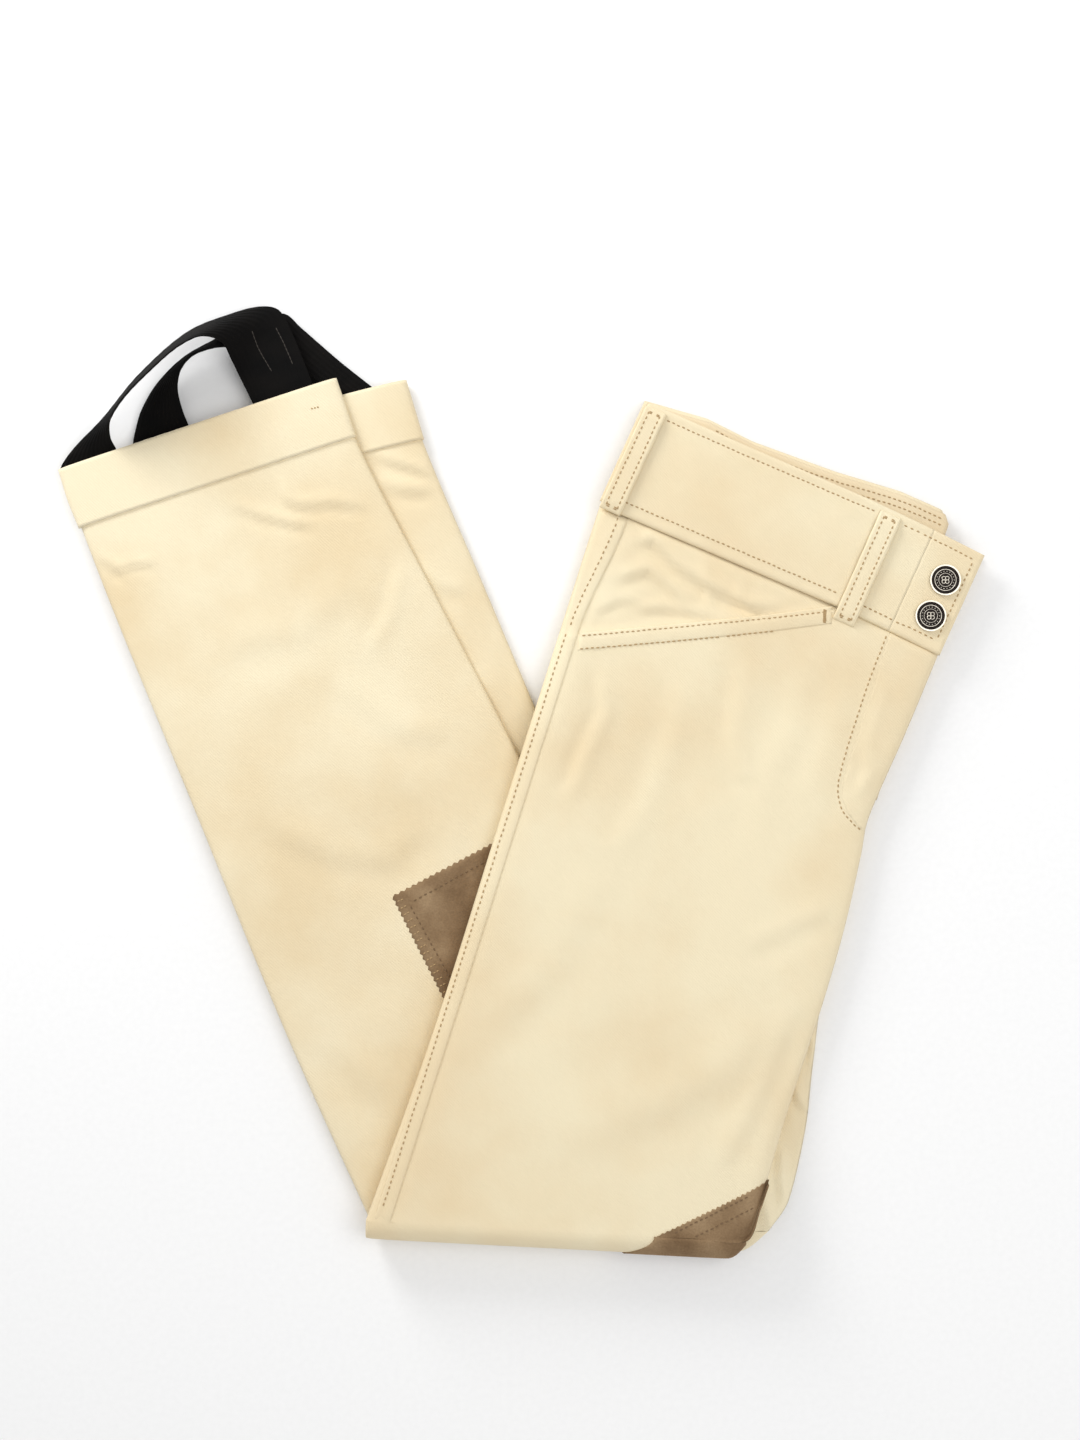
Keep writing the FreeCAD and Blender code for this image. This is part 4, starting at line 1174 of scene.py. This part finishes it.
# ---- elastic stirrups --------------------------------------------------------------------------
def strap(name, place, outer, inner, body, ply=1.3, ribs=11):
    """A ribbed elastic band between two edge lines; its points are across, along and height."""
    count = 110
    lines = []
    for points in (outer, inner):
        lines.append(curve_through([place(u, v) + Vector((0, 0, z)) for u, v, z in points], count + 1))
    cols = ribs * 4
    top = []
    under = []
    for i in range(count + 1):
        a = lines[0][i]
        b = lines[1][i]
        n0 = max(i - 1, 0)
        n1 = min(i + 1, count)
        along = ((lines[0][n1] + lines[1][n1]) - (lines[0][n0] + lines[1][n0])).normalized()
        normal = along.cross(b - a).normalized()
        for j in range(cols + 1):
            r = j / cols
            rib = 0.16 * math.cos(2 * math.pi * r * ribs) + 0.05 * math.sin(i * 1.7)
            thin = min(1.0, 8 * r + 0.35, 8 * (1 - r) + 0.35)
            c = a.lerp(b, r)
            top.append(c + normal * (ply / 2 + rib) * thin)
            under.append(c - normal * (ply / 2 + rib) * thin)
    verts = top + under
    shift = len(top)
    faces = grid_faces(count, cols)
    faces += [tuple(reversed([i + shift for i in f])) for f in grid_faces(count, cols)]
    width = cols + 1
    loop = list(range(cols)) + [i * width + cols for i in range(count)]
    loop += [count * width + j for j in range(cols, 0, -1)] + [i * width for i in range(count, 0, -1)]
    for a, b in zip(loop, loop[1:] + loop[:1]):
        faces.append((b, a, a + shift, b + shift))
    obj = fix_normals(new_object(name, verts, faces))
    return finish_piece(obj, body, ELASTIC)


left_strap = strap(
    "left_stirrup_elastic", shin,
    [(0.2, 450, 8.9), (0.2, 457, 8.9), (6, 462, 9.6), (16.3, 467.4, 10), (33.1, 474.2, 10.5),
     (61, 489.4, 10.5),
     (94.5, 501.2, 10.5), (121, 501.8, 10), (137, 499.6, 9.8), (145.5, 494, 9.6), (147.6, 478, 9.3),
     (147.5, 444, 8.9)],
    [(33.5, 448, 8.9), (33.4, 455.5, 9.4), (33.5, 462, 15), (39, 469.0, 27), (51, 475.8, 34),
     (69, 483.0, 37),
     (88, 489.6, 37), (102, 491.2, 33), (110.4, 486.5, 22), (111, 477.5, 12), (112.0, 462.6, 9.6),
     (113.3, 446, 8.9)],
    None)
hinge = joints["left_stirrup_turn"]
HEM_AT = Vector(hinge["pos_m"])
HEM_DIR = Vector(hinge["axis"]).normalized()
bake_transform(left_strap)
right_strap = strap(
    "right_stirrup_elastic", shin,
    [(40.6, 448, 2.9), (40.8, 454, 2.9), (46.2, 463, 3.5), (54, 472.6, 4), (68, 483.0, 4.5), (86, 490.0, 5),
     (106, 493, 5), (128, 496, 4.5), (147, 492.5, 4.2), (153, 481.7, 4), (158.7, 470.6, 3.6),
     (166.6, 455.5, 3),
     (178.4, 435, 2.8)],
    [(74.4, 444, 2.9), (74.7, 452, 2.9), (75.0, 463, 6), (77.5, 474.0, 12), (84, 481.5, 20),
     (93, 485.0, 26),
     (103, 485.5, 23), (112, 485.5, 9), (123.5, 480, 6), (127.5, 470, 4.6), (131.5, 458, 3.8),
     (139.6, 444, 3),
     (147.4, 430, 2.8)],
    "lower_legs")

strap_top = surface_of(left_strap)
# Raised ridges along two creases of the left strap. Their grey-brown colour, lighter than the elastic, is
# painted highlight along the crease ridges.
finish_piece(new_object("stirrup_crease_highlights", *stitches(
    rows_in(shin, [[(127.6, 488.0), (127.2, 478.2), (129.2, 464)],
                   [(140.4, 485.4), (141.2, 475), (141.4, 463.4)]]),
    strap_top, pitch=2.4, length=2.9, width=0.3, wobble=0.05)), "left_stirrup", STRAP_CREASE_HIGHLIGHT)

# ---- stitching ---------------------------------------------------------------------------------
def seam_path(from_v, to_v, off=0.0):
    count = 16
    return [(side_seam(from_v + (to_v - from_v) * i / count) + off, from_v + (to_v - from_v) * i / count)
            for i in range(count + 1)]


HEAD_ROW = [(20.4, 480.6), (70, 475.2), (146, 467.6)]
FOOT_ROW = [(12.2, 430.6), (70, 425.2), (139.5, 418.4)]
stitch_piece("band_thread", rows_in(thigh, [HEAD_ROW, [(162.5, 465.4), (173.6, 464.0)],
                                            FOOT_ROW, [(155, 416.2), (173.6, 413.4)]]), band_top,
                                            "thighs", THREAD)
stitch_piece("tab_thread", rows_in(thigh, [[(174.6, 463.8), (191, 461.2), (205.6, 458.8)],
                                           [(205.6, 457.4), (203, 435), (199.8, 411.2)],
                                           [(198.2, 410.2), (186, 412), (174.6, 413.2)]]), band_top,
                                           "fly_flap", THREAD)
stitch_piece("back_band_thread",
             rows_in(thigh, [[(48, 484.2), (74, 479.6), (121, 477.6), (158, 478.2), (183, 475.6)],
                                                 [(52, 480.8), (76, 476.4), (121, 474.2), (158, 474.6),
                                                  (184, 472.2)]]),
             back_top, "thighs", THREAD)
stitch_piece("side_seam_thread", rows_in(thigh, [seam_path(22, 352, -6.4), seam_path(356, 422, -5.4)]),
             welt_top, "thighs", THREAD, pitch=3.2)
J_ROW = [(172.6, 404.6), (171.2, 378), (170.8, 345), (171.4, 324), (173.2, 314), (178.6, 305), (186, 300),
         (192, 297.4)]
stitch_piece("fly_thread", rows_in(thigh, [J_ROW]), skin, "thighs", THREAD)
stitch_piece("pocket_thread", rows_in(thigh, [[(12, 352.8), (40, 364.6), (72, 378.1), (105, 392.4), (137,
    406.6)],
                                              [(13, 345.4), (42, 357.4), (74, 370.8), (106, 384.8),
                                               (137.5, 398.6)]]),
             pocket_top, "thighs", THREAD)
stitch_piece("pocket_bar_tack",
             rows_in(thigh, [[(138.0 + 0.3 * k, 399.4), (135.8 + 0.3 * k, 407.6)] for k in range(-2, 3)]),
             pocket_top, "thighs", THREAD, pitch=1.0, length=1.3, width=0.35)


def loop_rows(foot, head, reach=3.3):
    a = Vector(foot)
    b = Vector(head)
    along = (b - a).normalized()
    side = Vector((along.y, -along.x)) * reach
    out = []
    for s in (-1, 1):
        out.append([tuple(a + along * 2 + side * s), tuple((a + b) / 2 + side * s),
                    tuple(b - along * 2 + side * s)])
    for end, way in ((a, 2.4), (b, -2.4)):
        for k in (0, 0.9):
            mid = end + along * (way + k * (1 if way > 0 else -1))
            out.append([tuple(mid - side * 1.3), tuple(mid), tuple(mid + side * 1.3)])
    return out


stitch_piece("loop_thread",
             rows_in(thigh,
                     loop_rows((147.4, 403.6), (154.6, 468.6)) + loop_rows((6.0, 423.0), (13.6, 484.2))),
             loop_top, "thighs", THREAD)


stitch_piece("patch_upper_thread", rows_in(thigh, [[(u + 6.0, v - 6.5) for u, v in PATCH_HEAD[1:-1]],
                                                   [(u + 1.2, v - 1.6) for u, v in PATCH_HEAD[1:-1]]]),
             patch_up_top, "thighs", THREAD_DARK, pitch=3.0, width=0.4)
stitch_piece("patch_lower_thread",
             rows_in(shin, [[(93, 163), (125, 167), (170, 172)], [(91, 162), (97, 110), (100, 80)]]),
             patch_low_top, "lower_legs", THREAD_DARK, pitch=3.2, width=0.4)
BARS = [[(84.8 + 0.084 * d, 166 - d), (88.8 + 0.084 * d, 166.4 - d)] for d in range(0, 90, 4)]
stitch_piece("patch_lower_bars", rows_in(shin, BARS), patch_low_top, "lower_legs", THREAD, pitch=2.0,
             length=1.7, width=0.35)
stitch_piece("cuff_tack", rows_in(shin, [[(141.5, 436.2), (146.5, 435.6)]]), cuff_top, "lower_legs",
             THREAD, pitch=1.6, length=1.3)

# ---- snap caps ---------------------------------------------------------------------------------
def cap_relief():
    """A generic ring and a four-petal rosette, raised on each snap's enamel face."""
    low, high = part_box("snap_faces")
    top = high[2] / MM
    verts = []
    faces = []

    def ring_at(centre, radius, wire, squash=0.5, start=0.0, span=2 * math.pi, sides=48):
        first = len(verts)
        for i in range(sides):
            a = start + span * i / sides
            for k in range(8):
                b = 2 * math.pi * k / 8
                r = radius + wire * math.cos(b)
                verts.append(Vector((centre.x + r * math.cos(a), centre.y + r * math.sin(a),
                                     top + wire * squash * math.sin(b))))
        for i in range(sides):
            for k in range(8):
                n = (i + 1) % sides
                faces.append((first + i * 8 + k, first + n * 8 + k, first + n * 8 + (k + 1) % 8,
                              first + i * 8 + (k + 1) % 8))

    for u, v in ((194.0, 443.25), (192.3, 421.95)):
        c = thigh(u, v)
        ring_at(c, 5.9, 0.3)
        ring_at(c, 3.7, 0.16)
        for k in range(18):
            a = 2 * math.pi * k / 18
            ring_at(c + Vector((math.cos(a), math.sin(a), 0)) * 4.8, 0.14, 0.14, sides=8)
        for k in range(4):
            a = math.pi / 4 + math.pi * k / 2
            ring_at(c + Vector((math.cos(a), math.sin(a), 0)) * 1.35, 1.0, 0.26, sides=16)
    return fix_normals(new_object("snap_relief", verts, faces))


finish_piece(cap_relief(), "fly_flap", NICKEL)


def enamel_rings():
    """The dark enamel reaches out over each rim, and leaves a thin bright edge."""
    low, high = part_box("snap_rims")
    top = high[2] / MM
    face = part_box("snap_faces")[1][2] / MM
    profile = [(6.3, face - 0.05), (6.35, top + 0.12), (6.6, top + 0.2), (7.5, top + 0.16),
               (7.75, top - 0.02), (7.75, top - 0.2)]
    verts = []
    faces = []
    sides = 64
    for u, v in ((194.0, 443.25), (192.3, 421.95)):
        c = thigh(u, v)
        first = len(verts)
        for i in range(sides):
            a = 2 * math.pi * i / sides
            for r, z in profile:
                verts.append(Vector((c.x + r * math.cos(a), c.y + r * math.sin(a), z)))
        n = len(profile)
        for i in range(sides):
            for k in range(n - 1):
                m = (i + 1) % sides
                faces.append((first + i * n + k, first + m * n + k, first + m * n + k + 1,
                              first + i * n + k + 1))
    return fix_normals(new_object("snap_enamel_edges", verts, faces))


finish_piece(enamel_rings(), "fly_flap", ENAMEL)

# ---- hardware finishes -------------------------------------------------------------------------
for names, material in ((("snap_rims", "snap_sockets", "snap_studs"), NICKEL), (("snap_faces",), ENAMEL),
                        (("right_zip_teeth", "left_zip_teeth", "zip_bottom_stop", "zip_slider",
                          "zip_pull"), BRASS)):
    for name in names:
        data = frame["nodes"][name].data
        data.materials.clear()
        data.materials.append(material)


# ---- under the fly: the underlap, its waistband end and the zip tapes ----
def hidden_ply(name, corners, height, thickness, material, rows=24, cols=10):
    """A flat ply held at a set height between the plies around it."""
    grid = area_grid(thigh, *corners, rows, cols)
    ply = slab(name, grid, lambda p, last: height, thickness)
    finish_piece(ply, "thighs", material)
    return ply


underlap = hidden_ply("fly_underlap_cloth", ((167, 308), (194.5, 308), (202.5, 399), (167, 396)), 6.3,
                      0.75, LINING)
band_underlap = hidden_ply("waistband_underlap_cloth", ((167, 404), (203.5, 402.5), (210, 462), (167, 459)),
                           6.35, 1.4, LINING)
right_tape = hidden_ply("right_zip_tape_cloth", ((168.5, 316), (185.2, 316), (185.2, 398), (168.5, 398)),
                        8.3, 0.5, TAPE, rows=20, cols=4)
left_tape = hidden_ply("left_zip_tape_cloth", ((187.9, 316), (195.6, 316), (195.6, 398), (187.9, 398)),
                       8.3, 0.5, TAPE, rows=20, cols=4)

# ---- hidden parts: the imported parts that the pieces above are drawn in place of --------------
def stands_for(obj, *names):
    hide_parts(*names)


stands_for(right_thigh, "right_thigh_front_panel", "right_thigh_back_panel", "right_hip_panel",
           "right_pocket_bag")
stands_for(left_thigh, "left_thigh_front_panel", "left_thigh_back_panel", "left_hip_panel",
           "left_pocket_bag",
           "left_pocket_edge", "left_knee_patch_upper")
stands_for(left_shin, "left_shin_front_panel", "left_shin_back_panel", "left_strap_tabs")
stands_for(right_shin, "right_shin_front_panel", "right_shin_back_panel", "right_strap_tabs",
           "right_knee_patch_lower")
stands_for(fly, "fly_placket")
stands_for(right_band, "right_front_waistband")
stands_for(tab, "waistband_tab")
stands_for(left_band, "left_front_waistband", "left_front_belt_loop", "left_side_belt_loop")
stands_for(right_back_band, "right_back_waistband", "centre_back_belt_loop")
stands_for(left_back_band, "left_back_waistband")
stands_for(pocket_band, "right_pocket_edge")
stands_for(front_loop, "right_front_belt_loop")
stands_for(side_loop, "right_side_belt_loop")
stands_for(left_cuff, "left_hem_cuff")
stands_for(right_cuff, "right_hem_cuff")
stands_for(patch_up, "right_knee_patch_upper")
stands_for(patch_low, "left_knee_patch_lower")
stands_for(left_strap, "left_stirrup_strap")
stands_for(right_strap, "right_stirrup_strap")
stands_for(underlap, "fly_underlap")
stands_for(band_underlap, "waistband_underlap")
stands_for(right_tape, "right_zip_tape")
stands_for(left_tape, "left_zip_tape")


# ---- stage, light and camera -------------------------------------------------------------------
def make_stage():
    half = 2.2
    floor = new_object("floor", [Vector(c) / MM for c in
                       ((-half, -half, -0.0002), (half, -half, -0.0002), (half, half, -0.0002),
                        (-half, half, -0.0002))],
                       [(0, 1, 2, 3)])
    m = Maker("paper")
    grain = m.noise(300.0, 2.0)
    m.link(m.ramp(grain, [(0.3, (0.93, 0.93, 0.93, 1)), (0.7, (0.95, 0.95, 0.95, 1))]),
           m.shader.inputs["Base Color"])
    m.set(Roughness=0.9)
    floor.data.materials.append(m.mat)


def area_light(name, where, size, power, aim=(0, 0, 0)):
    light = bpy.data.lights.new(name, "AREA")
    light.shape = "SQUARE"
    light.size = size
    light.energy = power
    obj = bpy.data.objects.new(name, light)
    obj.location = where
    obj.rotation_euler = (Vector(aim) - Vector(where)).to_track_quat("-Z", "Y").to_euler()
    bpy.context.scene.collection.objects.link(obj)


def make_light():
    world = bpy.data.worlds.new("world")
    world.use_nodes = True
    world.node_tree.nodes["Background"].inputs["Color"].default_value = (1, 1, 1, 1)
    world.node_tree.nodes["Background"].inputs["Strength"].default_value = 0.62
    bpy.context.scene.world = world
    area_light("key", (-0.75, 1.0, 0.5), 0.5, 11.0)
    area_light("fill", (0.7, 0.1, 1.5), 1.2, 9.0)


def make_camera():
    data = bpy.data.cameras.new("camera")
    data.lens = 50
    data.sensor_fit = "VERTICAL"
    data.sensor_height = 36
    camera = bpy.data.objects.new("camera", data)
    camera.location = (0.0116, 0.0327, 1.096 + 0.02)
    bpy.context.scene.collection.objects.link(camera)
    bpy.context.scene.camera = camera


make_stage()
make_light()
make_camera()
bpy.context.scene.view_settings.view_transform = "Standard"
